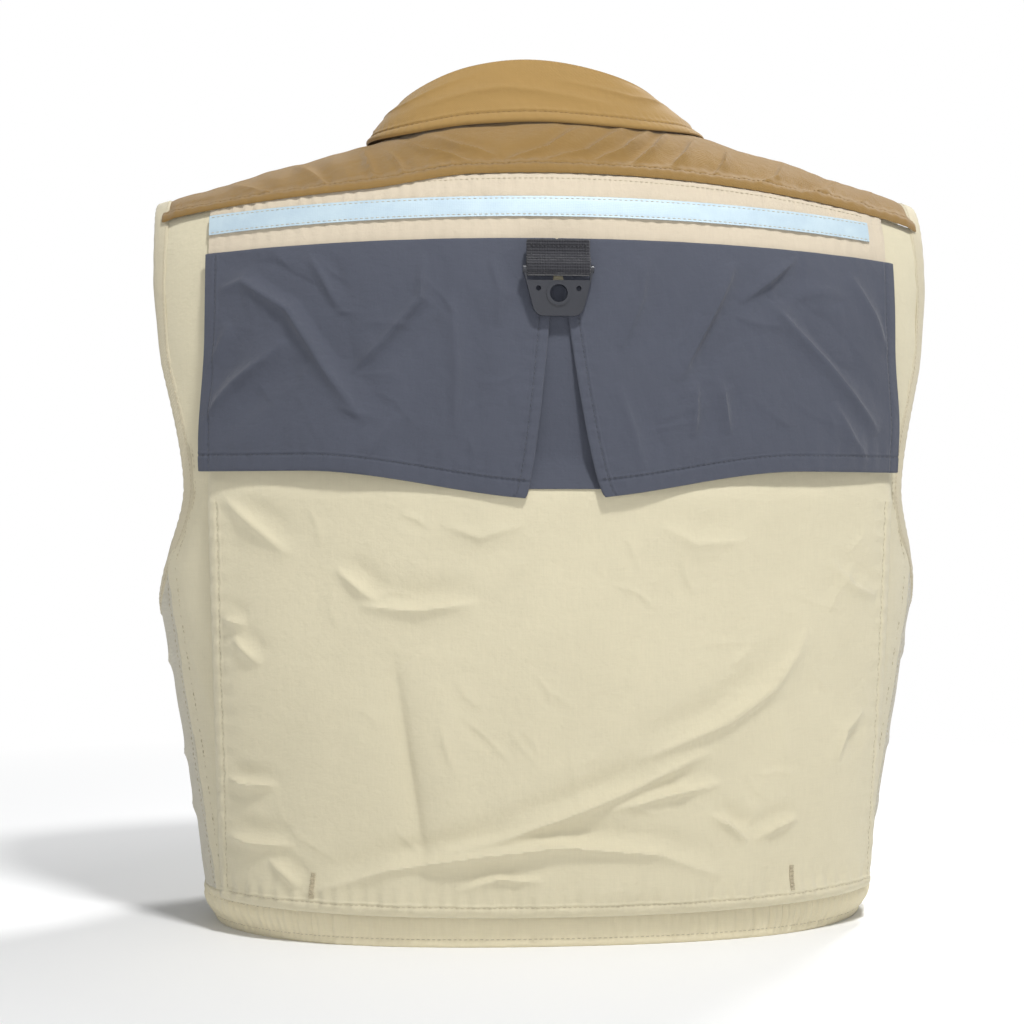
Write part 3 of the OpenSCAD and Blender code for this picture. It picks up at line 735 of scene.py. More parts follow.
def collar_leaf(u, v, lift):
    """u is the angle round the neck, v from 0 on the leaf's free edge to 1 on the fold, then over it."""
    low, high = neck_point(u, LEAF_R, LEAF_FOOT_Z, 4.3), leaf_fold(u)
    t = np.minimum(v, 1)[..., None] if np.ndim(v) else min(v, 1)
    bow = 4 * np.sin(pi * np.minimum(v, 1))
    base = mix(low, high, t) + np.stack([0 * bow, 0 * bow, bow], -1)
    over = pi * np.clip(v - 1, 0, 1)
    base = base + inward(u, 2.2 * (1 - np.cos(over))) + np.stack([0 * over, 0 * over, 2.2 * np.sin(over)], -1)
    down = 43 * np.minimum(v, 1)
    edge = hem(down, 6.5, 0.5) + 0.9 * bell(down - 1.6, 2.2) + 0.25 * pucker(u * 2, down, 5.5, 7, 11)
    waves = folds(u, down, [
        ([(-70, 30), (-40, 22), (-8, 27)], 1.0, 4),
        ([(-30, 12), (10, 20), (46, 16)], 1.1, 4),
        ([(20, 34), (52, 26), (84, 30)], 0.9, 4),
        ([(-104, 18), (-78, 14), (-56, 10)], 0.9, 4),
        ([(70, 8), (92, 18), (112, 22)], 0.9, 4),
    ])
    waves = waves + 0.3 * ripple(u * 1.6, down, 26, 12)
    out = edge + waves * ease(down / 8) * ease((43 - down) / 6) + lift
    away = np.cos(over)
    return settled(base - inward(u, out * away) + np.stack([0 * out, 0 * out, out * np.sin(over)], -1))


def collar_stand(u, v, lift):
    high = leaf_fold(u) + inward(u, 4.2) - np.array([0, 0, 2.2])
    low = neck_point(u, STAND_R, STAND_FOOT_Z, 1)
    t = np.asarray(v, float)[..., None]
    out = 0.3 * ripple(u * 1.6, v * 40, 24, 14) + lift
    return settled(mix(low, high, t) - inward(u, out))


def build_yokes_and_collar():
    u = spaced(-1, 1, 0.0055)
    v = spaced(0, 1, 0.015)
    v = np.unique(np.concatenate([v, np.linspace(0, 0.26, 16)]))
    add_cloth("back_yoke_cloth", back_yoke, u, v, 1.5, TAN, ["back_yoke"], "vest")
    across = np.linspace(-0.995, 0.995, 400)
    add_stitches("back_yoke_topstitch", [(back_yoke, across, share_above(across, 6.6))], TAN_THREAD, "vest")
    for side in SIDES:
        face = slumping(for_side(front_yoke, side))
        add_cloth("front_yoke_cloth_" + side, face, spaced(0, 1, 0.02), spaced(0, 1, 0.012), 1.5, TAN,
                  ["front_yoke_" + side], "shoulder_" + side)
        along = np.linspace(0.02, 0.98, 120)
        add_stitches("front_yoke_topstitch_" + side, [(face, along, 0 * along + 0.045)], TAN_THREAD,
                     "shoulder_" + side)
    f = spaced(-COLLAR_END, COLLAR_END, 1.0)
    rows = np.concatenate([spaced(0, 1, 0.03), [0.1, 0.115, 0.13, 0.145, 0.16, 1.2, 1.4, 1.6, 1.8, 2.0]])
    add_cloth("collar_leaf_cloth", collar_leaf, f, np.unique(rows), 1.7, TAN_COLLAR, ["collar_leaf"], "vest")
    add_cloth("collar_stand_cloth", collar_stand, f, spaced(0, 1, 0.06), 1.4, TAN_COLLAR, ["collar_stand"],
              "vest")
    f = np.linspace(-COLLAR_END + 2, COLLAR_END - 2, 300)
    add_stitches("collar_topstitch", [(collar_leaf, f, 0 * f + 0.125), (collar_stand, f, 0 * f + 0.08)],
                 TAN_THREAD, "vest")


def share_above(u, height):
    """The yoke's v at that height above its lower edge."""
    x = YOKE_HALF_W * np.asarray(u, float)
    low = turn_at(x, yoke_edge_z(x) - YOKE_LAP)
    high = neck_turn(x / YOKE_NECK_W, YOKE_NECK_Z)
    return (turn_at(x, yoke_edge_z(x) - YOKE_LAP + height) - low) / (high - low)


# ---- The back: band, strip, cape, pocket, waistband and shell ----


def band(u, v, lift):
    """The beige band behind the reflective strip: u is x, v from 0 at its foot to 1 under the yoke."""
    low, high = cape_top(u) - 4, yoke_edge_z(u) - 1.5
    z = mix(low, high, v)
    gathers = 0.35 * pucker(u, z - low, 30, 9, 21) + 0.3 * pucker(u, high - z, 5, 7, 22)
    left_gathers = 0.5 * np.sin(u * 0.9) * bell(u - 185, 30) * bell(z - 462, 5)
    waves = 0.35 * ripple(u, 2 * z, 40, 23) + folds(u, z, [
        ([(60, 482), (40, 472), (18, 470)], 0.8, 4), ([(-150, 470), (-110, 476), (-80, 478)], 0.8, 4)])
    return on_back(u, z, 4.4 + ease(v * 6) * (gathers + left_gathers + waves) * 0.8 + lift)


def strip(u, v, lift):
    z = strip_mid(u) + 13 * (v - 0.5)
    edge = 6.5 - np.abs(z - strip_mid(u))
    dents = -0.18 * bell(edge - 1.3, 0.6) + 0.14 * ripple(u, z, 42, 24) + 0.06 * pucker(u, edge, 2, 6, 25)
    return on_back(u, z, 5.9 + dents + lift)


def cape_creases(x, z):
    """Creases of both cape panels, longest where the cloth hangs from the band towards the sides."""
    return folds(x, z, [
        ([(207, 408), (189, 415), (160, 396), (138, 360), (113, 324)], 3.0, 9),
        ([(162, 376), (192, 350), (215, 321)], 2.3, 9),
        ([(80, 430), (82, 402), (103, 376), (124, 355)], 2.0, 7),
        ([(64, 404), (60, 360), (61, 315)], 1.4, 8),
        ([(150, 432), (140, 415), (132, 396)], 1.1, 6),
        ([(196, 388), (206, 366), (218, 352)], 1.4, 7),
        ([(40, 428), (34, 405), (36, 384)], 1.0, 6),
        ([(94, 330), (110, 306), (120, 290)], 1.2, 9),
        ([(-111, 428), (-94, 392), (-72, 350)], 2.2, 8),
        ([(-153, 434), (-134, 418), (-113, 401)], 1.7, 7),
        ([(-131, 404), (-166, 366), (-203, 320)], 2.6, 9),
        ([(-84, 352), (-83, 335), (-81, 316)], 1.3, 6),
        ([(-99, 354), (-101, 336), (-103, 318)], 1.2, 6),
        ([(-186, 424), (-202, 398), (-214, 372)], 1.5, 8),
        ([(-56, 430), (-50, 400), (-38, 370)], 1.2, 7),
        ([(-170, 340), (-182, 318), (-196, 300)], 1.2, 8),
        ([(-36, 350), (-44, 322), (-50, 296)], 1.0, 8),
    ])


def cape_panel(foot_x, top_x, sign):
    """One cape panel: u from 0 at the pleat to 1 at the side, v from 0 at the foot to 1 under the band."""
    def face(u, v, lift):
        x0 = mix(foot_x, top_x, np.clip(v, 0, 1) ** 0.7)
        x = mix(x0, CAPE_SIDE[sign], u)
        foot = cape_foot(x)
        z = mix(foot, cape_top(x) + 1.5, v)
        flare = 6.2 * side_hug(x) * (1 - ease(v * 1.6))
        to_edge = np.minimum(x - x0, CAPE_SIDE[sign] - x)
        edges = hem(to_edge, 7, 0.35) + hem(z - foot, 11, 0.35)
        gathers = 0.2 * pucker(z, x - x0, 6, 9, 31) + 0.22 * pucker(x, z - foot, 10, 11, 32)
        free = ease(to_edge / 14) * (0.25 + 0.75 * ease((z - foot) / 22))
        small = crinkles(sign * x, z, 37, 40, (-205, 205), (300, 425), 0.9)
        creases = (2.1 * cape_creases(sign * x, z) + small) * free * (1 - 0.5 * ease((v - 0.9) * 10))
        billow = 1.3 * ripple(sign * x, z, 95, 33) * (1 - ease(v)) * ease((z - foot + 24) / 34)
        rumple = 0.35 * ripple(sign * x, z, 30, 34) + 0.12 * ripple(sign * x, z, 11, 35)
        swing = 1.0 * np.sin(x / 17 + sign) * bell(z - foot, 26)
        off = 6.2 + CLOTH_T + flare + edges + gathers + creases + billow + free * rumple + swing
        return on_back(x, z, np.maximum(off, 6.2) + lift) * np.array([sign, 1, 1])
    return face


def underlay(u, v, lift):
    """The cloth behind the cape's pleat, over the pocket's closed top: u is x."""
    z = mix(284.5, 412, v)
    off = pocket_off(u, z) + CLOTH_T + 0.15 + 1.2
    return on_back(u, z, off + 0.25 * ripple(u, z, 24, 36) + lift)


def pocket_off(x, z):
    t = (z - POCKET_FOOT_Z) / (POCKET_TOP_Z - POCKET_FOOT_Z)
    return mix(mix(3, 9, side_hug(x)), SHELL_T + 0.4, ease((t - 0.9) / 0.1))


def pocket_creases(x, z):
    """Creases of the back pocket, most of them rising from its lower corners."""
    return folds(x, z, [
        ([(207, 286), (184, 264), (160, 243)], 1.6, 7),
        ([(132, 235), (119, 224), (107, 214)], 1.6, 6),
        ([(118, 212), (84, 209), (48, 214)], 1.8, 7),
        ([(205, 203), (185, 199)], 1.4, 5),
        ([(193, 191), (184, 182), (175, 174)], 1.3, 5),
        ([(99, 184), (90, 120), (79, 42)], -1.9, 15),
        ([(202, 101), (184, 97), (166, 98)], 1.5, 5),
        ([(199, 63), (178, 60), (156, 61)], 1.6, 6),
        ([(171, 51), (162, 44), (153, 34)], 1.4, 5),
        ([(152, 30), (99, 49), (48, 58), (-2, 64), (-62, 57), (-100, 41)], 2.4, 7),
        ([(70, 59), (34, 68), (-2, 81), (-48, 100), (-93, 121)], 2.4, 7),
        ([(-47, 115), (-100, 138), (-130, 158), (-147, 180), (-156, 198)], 2.2, 8),
        ([(-31, 85), (-66, 94), (-101, 100)], 1.6, 6),
        ([(-92, 81), (-104, 73), (-116, 62)], 1.6, 5),
        ([(-120, 63), (-135, 70), (-150, 75)], 1.5, 5),
        ([(-170, 240), (-186, 222), (-206, 214)], 1.2, 7),
        ([(-60, 262), (-84, 250), (-116, 252)], 0.9, 8),
        ([(20, 262), (46, 254), (70, 262)], 0.8, 8),
        ([(-196, 140), (-182, 128), (-176, 108)], 1.2, 6),
        ([(60, 36), (36, 44), (8, 42)], 1.2, 5),
    ])


def pocket_half_w(x, v):
    """The back pocket's half width on the side of x."""
    foot = np.where(x < 0, POCKET_FOOT[-1], POCKET_FOOT[1])
    top = np.where(x < 0, POCKET_TOP[-1], POCKET_TOP[1])
    return mix(foot, top, v)


def back_pocket(u, v, lift):
    """The back pocket: u across from -1 to 1, v from 0 at its foot to 1 at its top, under the cape."""
    z = mix(POCKET_FOOT_Z, POCKET_TOP_Z, v)
    x = pocket_half_w(u, v) * u
    sag = 3 * (x / 214) ** 2 * (1 - v)
    side = np.abs(np.abs(u) - 1) * POCKET_HALF_W
    foot = z - POCKET_FOOT_Z
    close_in = quarter(side / 7) * quarter((foot + 0.4) / 6)
    off = mix(3.0, pocket_off(x, z), close_in) + CLOTH_T
    edges = (hem(side, 9, 0.4) + hem(foot, 8, 0.5)) * (v < 0.9)
    gathers = 0.3 * pucker(z, side, 8, 12, 41) + 0.55 * pucker(x, foot, 9, 9, 42) * ease(foot / 5)
    free = ease((side - 4) / 16) * ease((foot - 3) / 14) * (1 - ease((v - 0.86) / 0.08))
    billow = 1.2 * ripple(x, z, 110, 43) + 0.4 * ripple(x, z * 0.8, 38, 44) + 0.12 * ripple(x, z, 12, 45)
    pull = 0.9 * np.sin(x / 6.5 + 0.6 * np.sin(x / 19)) * bell(foot - 12, 16) * ease(foot / 8)
    wrinkles = 2.3 * pocket_creases(x, z) + crinkles(x, z, 46, 46, (-190, 190), (50, 260), 0.9)
    relief = free * (wrinkles + billow) + gathers + edges + pull * ease(side / 20)
    return on_back(x, z + sag, off + relief + lift)


def waistband(u, v, lift):
    """The gathered waistband: u is the angle round the body, v from 0 at the hem to 1 at the top."""
    z = mix(0.6, 25, v)
    arc = u * 3.5
    middle = np.clip(np.sin(pi * v), 0, 1) ** 0.5
    crowd = 0.5 + 0.5 * ease((np.abs(u) + 20) / 60)
    ribs = np.sin(arc * 1.05 + 1.4 * np.sin(arc / 11) + 0.8 * np.sin(v * 4)) * 0.6
    ribs = ribs + 0.35 * np.sin(arc * 0.47 + 1.2 * np.sin(arc / 17) + v)
    seams = -0.5 * bell(z - 5, 0.9) - 0.5 * bell(z - 20, 0.9)
    puff = 0.8 * middle + 0.5 * bell(z - 12.5, 5)
    tuck = 5 * (1 - ease(v * 1.4)) * ease((np.abs(u) - 30) / 40)
    return skin(u, z, 2.4 + puff - tuck + crowd * ribs * mix(0.45, 1, middle) + seams + lift)


def back_panel(u, v, lift):
    low = 25.5
    guide = mix(low, 460, v)
    x = u * (tucked_edge(guide, 0) - 0.1)
    z = mix(low, yoke_edge_z(x) - 0.5, v)
    side = (1 - np.abs(u)) * 220
    creases = folds(np.abs(x), z, [([(236, 190), (222, 170), (214, 140)], 0.9, 6),
                                   ([(238, 110), (224, 98), (216, 92)], 0.9, 5)])
    relief = hem(side, 6, 0.3) + 0.25 * pucker(z, side, 5, 8, 51) + 0.3 * ripple(x, z, 30, 52)
    return on_back(x, z, SHELL_T + ease(v * 30) * (relief + ease(side / 10) * creases) + lift)


def side_panel(u, v, lift):
    """u is the angle from the back seam to the front seam, v from the waistband to the armhole."""
    top = underarm_z(u) - 0.5 * BINDING_W
    z = mix(25.5, top, v)
    across = np.minimum(u - 72, 112 - u) * 3.4
    creases = folds(u * 3.4, z, [
        ([(262, 190), (285, 172), (318, 168)], 1.2, 6), ([(255, 120), (290, 110), (330, 118)], 1.1, 6),
        ([(258, 64), (292, 76), (340, 66)], 1.2, 6), ([(300, 150), (330, 136), (366, 142)], 1.0, 6),
        ([(320, 60), (345, 48), (372, 52)], 1.0, 5)])
    relief = hem(across, 5, 0.3) + 0.3 * pucker(z, across, 4, 8, 53) + 0.5 * ripple(u * 3.4, z, 36, 54)
    return skin(u, z, SHELL_T + relief + ease(across / 8) * creases * ease((1 - v) * 12) + lift)


def stitch_path(value, count=300):
    """The same value all along a path of that many points."""
    return np.full(count, float(value))


def build_back():
    x = spaced(-218, 214, 2.0)
    add_cloth("strip_carrier_cloth", band, x, spaced(0, 1, 0.05), 1.2, BAND, ["strip_carrier"], "vest")
    add_cloth("reflective_strip_tape", strip, spaced(-205, 213, 3), spaced(0, 1, 0.08), 0.5, STRIP,
              ["reflective_strip"], "vest")
    along = np.linspace(-204, 212, 500)
    rows = [(face, along, stitch_path(v, 500)) for face, v in ((strip, 0.1), (strip, 0.9), (band, 0.94))]
    add_stitches("strip_stitching", rows, BEIGE_THREAD, "vest", radius=0.2)
    for side, foot_x, top_x in (("left", 20, 1), ("right", 27, 1)):
        face = cape_panel(foot_x, top_x, SIDES[side])
        u = spaced(0, 1, 0.006)
        v = np.unique(np.concatenate([spaced(0, 1, 0.009), np.linspace(0.045, 0.085, 7)]))
        u = np.unique(np.concatenate([u, np.linspace(0.018, 0.045, 8), 1 - np.linspace(0.018, 0.045, 8)]))
        add_cloth("cape_cloth_" + side, face, u, v, 1.3, SLATE, ["cape_" + side], "vest")
        rise = np.linspace(0.01, 0.99, 300)
        width = CAPE_SIDE[SIDES[side]] - mix(foot_x, top_x, rise**0.7)
        foot_v = 10 / (cape_top(150) + 1.5 - 296)
        rows = [(face, 5.8 / width, rise), (face, 1 - 5.8 / width, rise),
                (face, np.linspace(0.01, 0.99, 300), stitch_path(foot_v * 0.97))]
        add_stitches("cape_topstitch_" + side, rows, SLATE_THREAD, "vest")
    add_cloth("cape_underlay_cloth", underlay, spaced(-38, 38, 2), spaced(0, 1, 0.02), 1.0, SLATE,
              ["cape_underlay"], "vest")
    u = np.unique(np.concatenate([spaced(-1, 1, 0.006), np.linspace(0.945, 0.995, 14),
                                  -np.linspace(0.945, 0.995, 14)]))
    v = np.unique(np.concatenate([spaced(0, 1, 0.0048), np.linspace(0.002, 0.045, 16)]))
    add_cloth("back_pocket_cloth", back_pocket, u, v, 1.3, BEIGE, ["back_pocket"], "vest")
    rise, across = np.linspace(0.03, 0.9, 300), np.linspace(-0.96, 0.96, 500)
    rows = [(back_pocket, stitch_path(s * (1 - 7.8 / POCKET_HALF_W)), rise) for s in (-1, 1)]
    rows.append((back_pocket, across, stitch_path(6.8 / (POCKET_TOP_Z - POCKET_FOOT_Z), 500)))
    add_stitches("back_pocket_topstitch", rows, BEIGE_THREAD, "vest")
    build_bartacks()
    # The back waistband takes the beige painted lighter, against the pocket's shade.
    add_cloth("waistband_back_cloth", waistband, spaced(0.3 - SEAM_ANGLE, SEAM_ANGLE - 0.3, 0.45),
              spaced(0, 1, 0.06), 2.4, WAIST_PAINTED_LIGHT, ["waistband_back"], "vest")
    round_body = np.linspace(0.5 - SEAM_ANGLE, SEAM_ANGLE - 0.5, 900)
    rows = [(waistband, round_body, stitch_path(share, 900)) for share in (0.18, 0.795)]
    add_stitches("waistband_back_stitching", rows, BEIGE_THREAD, "vest")
    add_cloth("back_panel_cloth", back_panel, spaced(-1, 1, 0.012), spaced(0, 1, 0.014), 1.6, BEIGE,
              ["back_panel"], "vest")
    rise = np.linspace(0.01, 0.66, 300)
    add_stitches("back_panel_topstitch", [(back_panel, stitch_path(s * 0.978), rise) for s in (-1, 1)],
                 BEIGE_THREAD, "vest")
    for side in SIDES:
        face = for_side(side_panel, side)
        # The side panels take the ribbed cloth darkened with painted shade.
        add_cloth("side_panel_cloth_" + side, face, spaced(71.5, 112.4, 0.6), spaced(0, 1, 0.014), 1.6, SIDE_SHADED,
                  ["side_panel_" + side], "vest")
        rows = [(face, stitch_path(a), np.linspace(0.01, 0.98, 300)) for a in (73.3, 110.7)]
        add_stitches("side_panel_topstitch_" + side, rows, BEIGE_THREAD, "vest")


def build_bartacks():
    """Dense bars of stitches across the back pocket's foot."""
    rows = []
    for x in (-146, 146):
        for k in range(-2, 3):
            z = np.linspace(28, 44, 40)
            rows.append((bartack_face, x + k * 0.45 + 0 * z, z))
        zigzag = np.linspace(28, 44, 60)
        rows.append((bartack_face, x + 1.5 * np.sign(np.sin(zigzag * 5)), zigzag))
    obj = add_stitches("back_pocket_bartack_stitching", rows, BEIGE_THREAD, "vest", 2.2, 2.1, 0.3)
    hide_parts("back_pocket_bartacks")


def bartack_face(x, z, lift):
    v = (z - POCKET_FOOT_Z) / (POCKET_TOP_Z - POCKET_FOOT_Z)
    return back_pocket(x / pocket_half_w(x, v), v, lift + 0.15)


# ---- Webbing, net ring and neck trims ----

RING_Y = 127.318
BAR_R = 2.65


def ring_webbing(u, v, lift):
    """Webbing that comes down, turns round the ring's bar and goes up behind: u is x, v along it."""
    radius = BAR_R + 1.5 + lift
    drop = 18
    arc = pi * radius
    total = 2 * drop + arc
    s = np.asarray(v, float) * total
    front, behind = s < drop, s > drop + arc
    turn = (np.clip(s - drop, 0, arc)) / radius
    z = np.where(front, RING_BAR_Z + drop - s, np.where(behind, RING_BAR_Z + s - drop - arc,
                                                        RING_BAR_Z - radius * np.sin(turn)))
    flat = ease((drop - 2 - s) / 9)
    back = np.where(behind, -radius, radius * np.cos(turn))
    y = RING_Y + np.where(front, mix(radius, 0.4 + lift, flat), back)
    ribs = 0.14 * np.sin(u * 2 * pi / 1.55) * np.where(np.abs(u) < 17.6, 1, 0.2)
    edge = -0.25 * ease((np.abs(u) - 17.8) / 1.2)
    return np.stack(np.broadcast_arrays(u, y + np.where(behind, -1, 1) * (ribs + edge), z), -1)


def hanger_loop(u, v, lift):
    """A narrow folded tape that hangs inside the neck: u along it, v across its width."""
    base = neck_point(0.0, STAND_R, STAND_FOOT_Z, 1)
    turn = u * 2 * pi
    x = 22 * np.tanh(3 * np.cos(turn)) + (6.8 + lift) * np.cos(turn)
    z = base[2] + 1 + (6.8 + lift) * np.sin(turn)
    y = base[1] - 6 + 4.8 * (v - 0.5) * 0.5
    return np.stack(np.broadcast_arrays(x, y, z), -1)


def neck_label(u, v, lift):
    z = mix(462, 478, v)
    return on_back(u, z, -1.0 - lift)


def build_trims():
    add_cloth("ring_webbing_strap", ring_webbing, spaced(-19, 19, 0.35), spaced(0, 1, 0.012), 1.45, WEBBING,
              ["ring_webbing"], "vest")
    across = np.linspace(-17.5, 17.5, 100)
    rows = [(ring_webbing, across, stitch_path(share, 100)) for share in (0.07, 0.24)]
    rows += [(ring_webbing, stitch_path(x, 60), np.linspace(0.03, 0.25, 60)) for x in (-17, 17)]
    add_stitches("ring_webbing_stitching", rows, BLACK_THREAD, "vest", 2.6, 2.0, 0.28)
    add_cloth("hanger_loop_tape", hanger_loop, spaced(0, 1, 0.01), spaced(0, 1, 0.2), 1.6, TAN_COLLAR,
              ["hanger_loop"], "vest")
    add_cloth("blank_label_cloth", neck_label, spaced(-26, 26, 2), spaced(0, 1, 0.1), 0.6, LABEL,
              ["blank_label"], "vest")


# ---- Armhole bindings: a folded strip round each armhole, in a back part and a front part ----


def binding_point(kind, s, w, lift):
    """A point on the binding: w from 0 on the armhole's edge to 1 on its inner edge."""
    lift = np.asarray(lift, float) - 0.8
    if kind == "under":
        lean = np.cos(np.radians(90 * np.clip(underarm_share(s), 0, 1)))
        turned = np.sign(s - 90) * w * BINDING_W / 3.2 * (1 - lean)
        return skin(s + turned, underarm_z(s) - w * BINDING_W * lean, lift)
    if kind == "over":
        z = crest(ARMHOLE_TOP_X, s, 0)[..., 2]
        scoop = FRONT_SCOOP * ease((s - 80) / 20)
        return crest(armhole(z, scoop) - w * binding_inset(z), s, lift)
    scoop = FRONT_SCOOP if kind == "front" else 0
    x = armhole(s, scoop) - w * binding_inset(s)
    return on_front(x, s, lift) if scoop else on_back(x, s, lift)


def binding_track(parts):
    """The binding's way round the armhole as a function of distance: a list of (kind, start, end)."""
    places = []
    for kind, start, end in parts:
        count = max(int(abs(end - start) / (1.0 if kind == "under" else 2.5)), 12)
        for s in np.linspace(start, end, count):
            places.append((kind, s))
    return places


def binding_section(count=16):
    """The folded strip's cross-section, round the outside from the armhole's edge: (w, lift)."""
    turn = np.linspace(0, 2 * pi, count, endpoint=False)
    w = 0.5 - 0.5 * np.sign(np.cos(turn)) * np.abs(np.cos(turn)) ** 0.45
    lift = 1.9 + 1.9 * np.sign(np.sin(turn)) * np.abs(np.sin(turn)) ** 0.55
    return w, lift


def smoothed(path, rounds=5):
    """The path with its corners eased, its two ends kept."""
    for _ in range(rounds):
        path[1:-1] = (path[:-2] + 2 * path[1:-1] + path[2:]) / 4
    return path


def binding_tube(places, sign):
    """Rings of points for a stretch of binding, with its stitch groove and small puckers."""
    w, lift = binding_section()
    section = list(zip(w, lift))
    rings = [[binding_point(kind, s, *point) for point in section] for kind, s in places]
    rings = smoothed(np.array(rings, float))
    middle = rings.mean(1, keepdims=True)
    travelled = lengths(rings.mean(1), 0)[:, None]
    top = ease((lift - 1.9) / 1.2)[None]
    groove = -0.5 * bell((w[None] - 0.72) * 10, 1.1) * top
    ribs = 0.22 * np.sin(travelled * 2 * pi / 6.5 + 2 * w[None]) * (0.4 + 0.6 * top)
    out = rings - middle
    out /= np.maximum(np.linalg.norm(out, axis=-1, keepdims=True), 1e-6)
    return slumped((rings + out * (groove + ribs)[..., None]) * np.array([sign, 1, 1]))


def build_binding(side, name, parts, body):
    sign = SIDES[side]
    places = binding_track(parts)
    rings = binding_tube(places, sign)
    count, around = rings.shape[:2]
    grid = np.arange(count * around).reshape(count, around)
    beside = np.roll(grid, -1, axis=1)
    quads = np.stack([grid[:-1], beside[:-1], beside[1:], grid[1:]], -1).reshape(-1, 4).tolist()
    quads += [grid[0].tolist(), grid[-1, ::-1].tolist()]
    obj = new_object(name, rings.reshape(-1, 3), quads, BINDING)
    travelled = np.repeat(lengths(rings.mean(1), 0)[:, None], around, 1)
    turned = np.repeat(np.abs(np.arange(around) - around / 2)[None] * 1.5, count, 0)
    face_outwards(obj)
    set_grain(obj, np.stack([travelled, turned], -1).reshape(-1, 2))
    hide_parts("armhole_binding_" + side)
    move_with(obj, body)

    def on_top(u, v, lift):
        """The groove's line: u is the place along the track, v unused."""
        at = np.clip(u, 0, count - 1.001)
        low = np.floor(at).astype(int)
        part = (at - low)[..., None]
        top = int(np.argmin(np.abs(binding_section()[0] - 0.72) + (binding_section()[1] < 2)))
        line, centre = rings[:, top], rings.mean(1)
        out = line - centre
        out /= np.linalg.norm(out, axis=-1, keepdims=True)
        lifted = np.asarray(lift, float)[..., None]
        return mix(line[low], line[low + 1], part) + mix(out[low], out[low + 1], part) * (lifted + 0.05)

    along = np.linspace(0.5, count - 1.5, 500)
    add_stitches(name + "_stitching", [(on_top, along, 0 * along)], BEIGE_THREAD, body)


def build_bindings():
    low_turn = float(turn_at(armhole(385.0, 0), 385.0))
    back_part = [("under", 112, 72), ("back", 250, 372), ("over", low_turn, 90)]
    front_part = [("over", 90, 180 - low_turn), ("front", 372, 250), ("under", 112.4, 112)]
    for side in SIDES:
        build_binding(side, "armhole_binding_back_" + side, back_part, "vest")
        build_binding(side, "armhole_binding_front_" + side, front_part, "shoulder_" + side)


# ---- Fronts ----


def front_panel(u, v, lift):
    """u from the armhole's side to the front edge, v from the waistband to the yoke."""
    z = mix(25.5, FRONT_YOKE_Z, v)
    x = mix(tucked_edge(z, FRONT_SCOOP) - 0.05, FRONT_EDGE_X + 0.5, u)
    width = tucked_edge(z, FRONT_SCOOP) - FRONT_EDGE_X
    side, edge = u * width, (1 - u) * width
    creases = folds(x, z, [
        ([(216, 250), (188, 262), (150, 262)], 1.4, 8), ([(205, 320), (170, 346), (132, 366)], 1.4, 8),
        ([(180, 210), (196, 188), (206, 160)], 1.2, 7), ([(196, 372), (160, 380), (120, 374)], 0.9, 7),
        ([(192, 60), (184, 90), (188, 126)], 1.0, 7), ([(150, 226), (120, 218), (70, 224)], 0.9, 6)])
    relief = hem(edge, 8, 0.4) + hem(side, 6, 0.3) + 0.25 * pucker(z, edge, 6.8, 9, 61)
    loose = ease(side / 12) * ease(edge / 12) * ease(v * 12) * ease((1 - v) * 12)
    return on_front(x, z, SHELL_T + relief + loose * (creases + 0.5 * ripple(x, z, 60, 62)) + lift)


def zip_tape(u, v, lift):
    """u from the panel to the teeth, v from the foot to the top."""
    z = mix(8, ZIP_TOP_Z - 2, v)
    x = mix(FRONT_EDGE_X + 3, 5.6, u)
    cord = 0.5 * bell(x - 6.2, 0.7)
    return on_front(x, z, 1.6 + cord + lift)


ZIP_Y = -117.995


def build_teeth(side):
    """One small tooth after another along the tape's edge: a shank and a wider, rounded head."""
    sign = SIDES[side]
    pitch = 2.4
    stagger = 0 if side == "left" else pitch / 2
    profile = [(0, 0.55), (0.7, 0.5), (1.1, 0.8), (1.7, 0.85), (2.1, 0.5)]
    points, faces = [], []
    z = 11 + stagger
    while z < ZIP_TOP_Z - 3:
        base = len(points)
        for reach, half in profile:
            x = sign * (6.2 - reach)
            for dy, dz in ((-1.1, -half), (-1.45, 0), (-1.1, half), (1.1, half), (1.4, 0), (1.1, -half)):
                points.append((x, ZIP_Y - 0.9 + dy, z + dz))
        for k in range(len(profile) - 1):
            for c in range(6):
                a, b = base + 6 * k + c, base + 6 * k + (c + 1) % 6
                faces.append((a, b, b + 6, a + 6))
        faces.append(tuple(base + c for c in range(5, -1, -1)))
        faces.append(tuple(base + 6 * (len(profile) - 1) + c for c in range(6)))
        z += pitch
    obj = new_object("zip_teeth_row_" + side, points, faces, TOOTH)
    face_outwards(obj, 40)
    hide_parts("zip_teeth_" + side)
    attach(obj, "front_" + side)


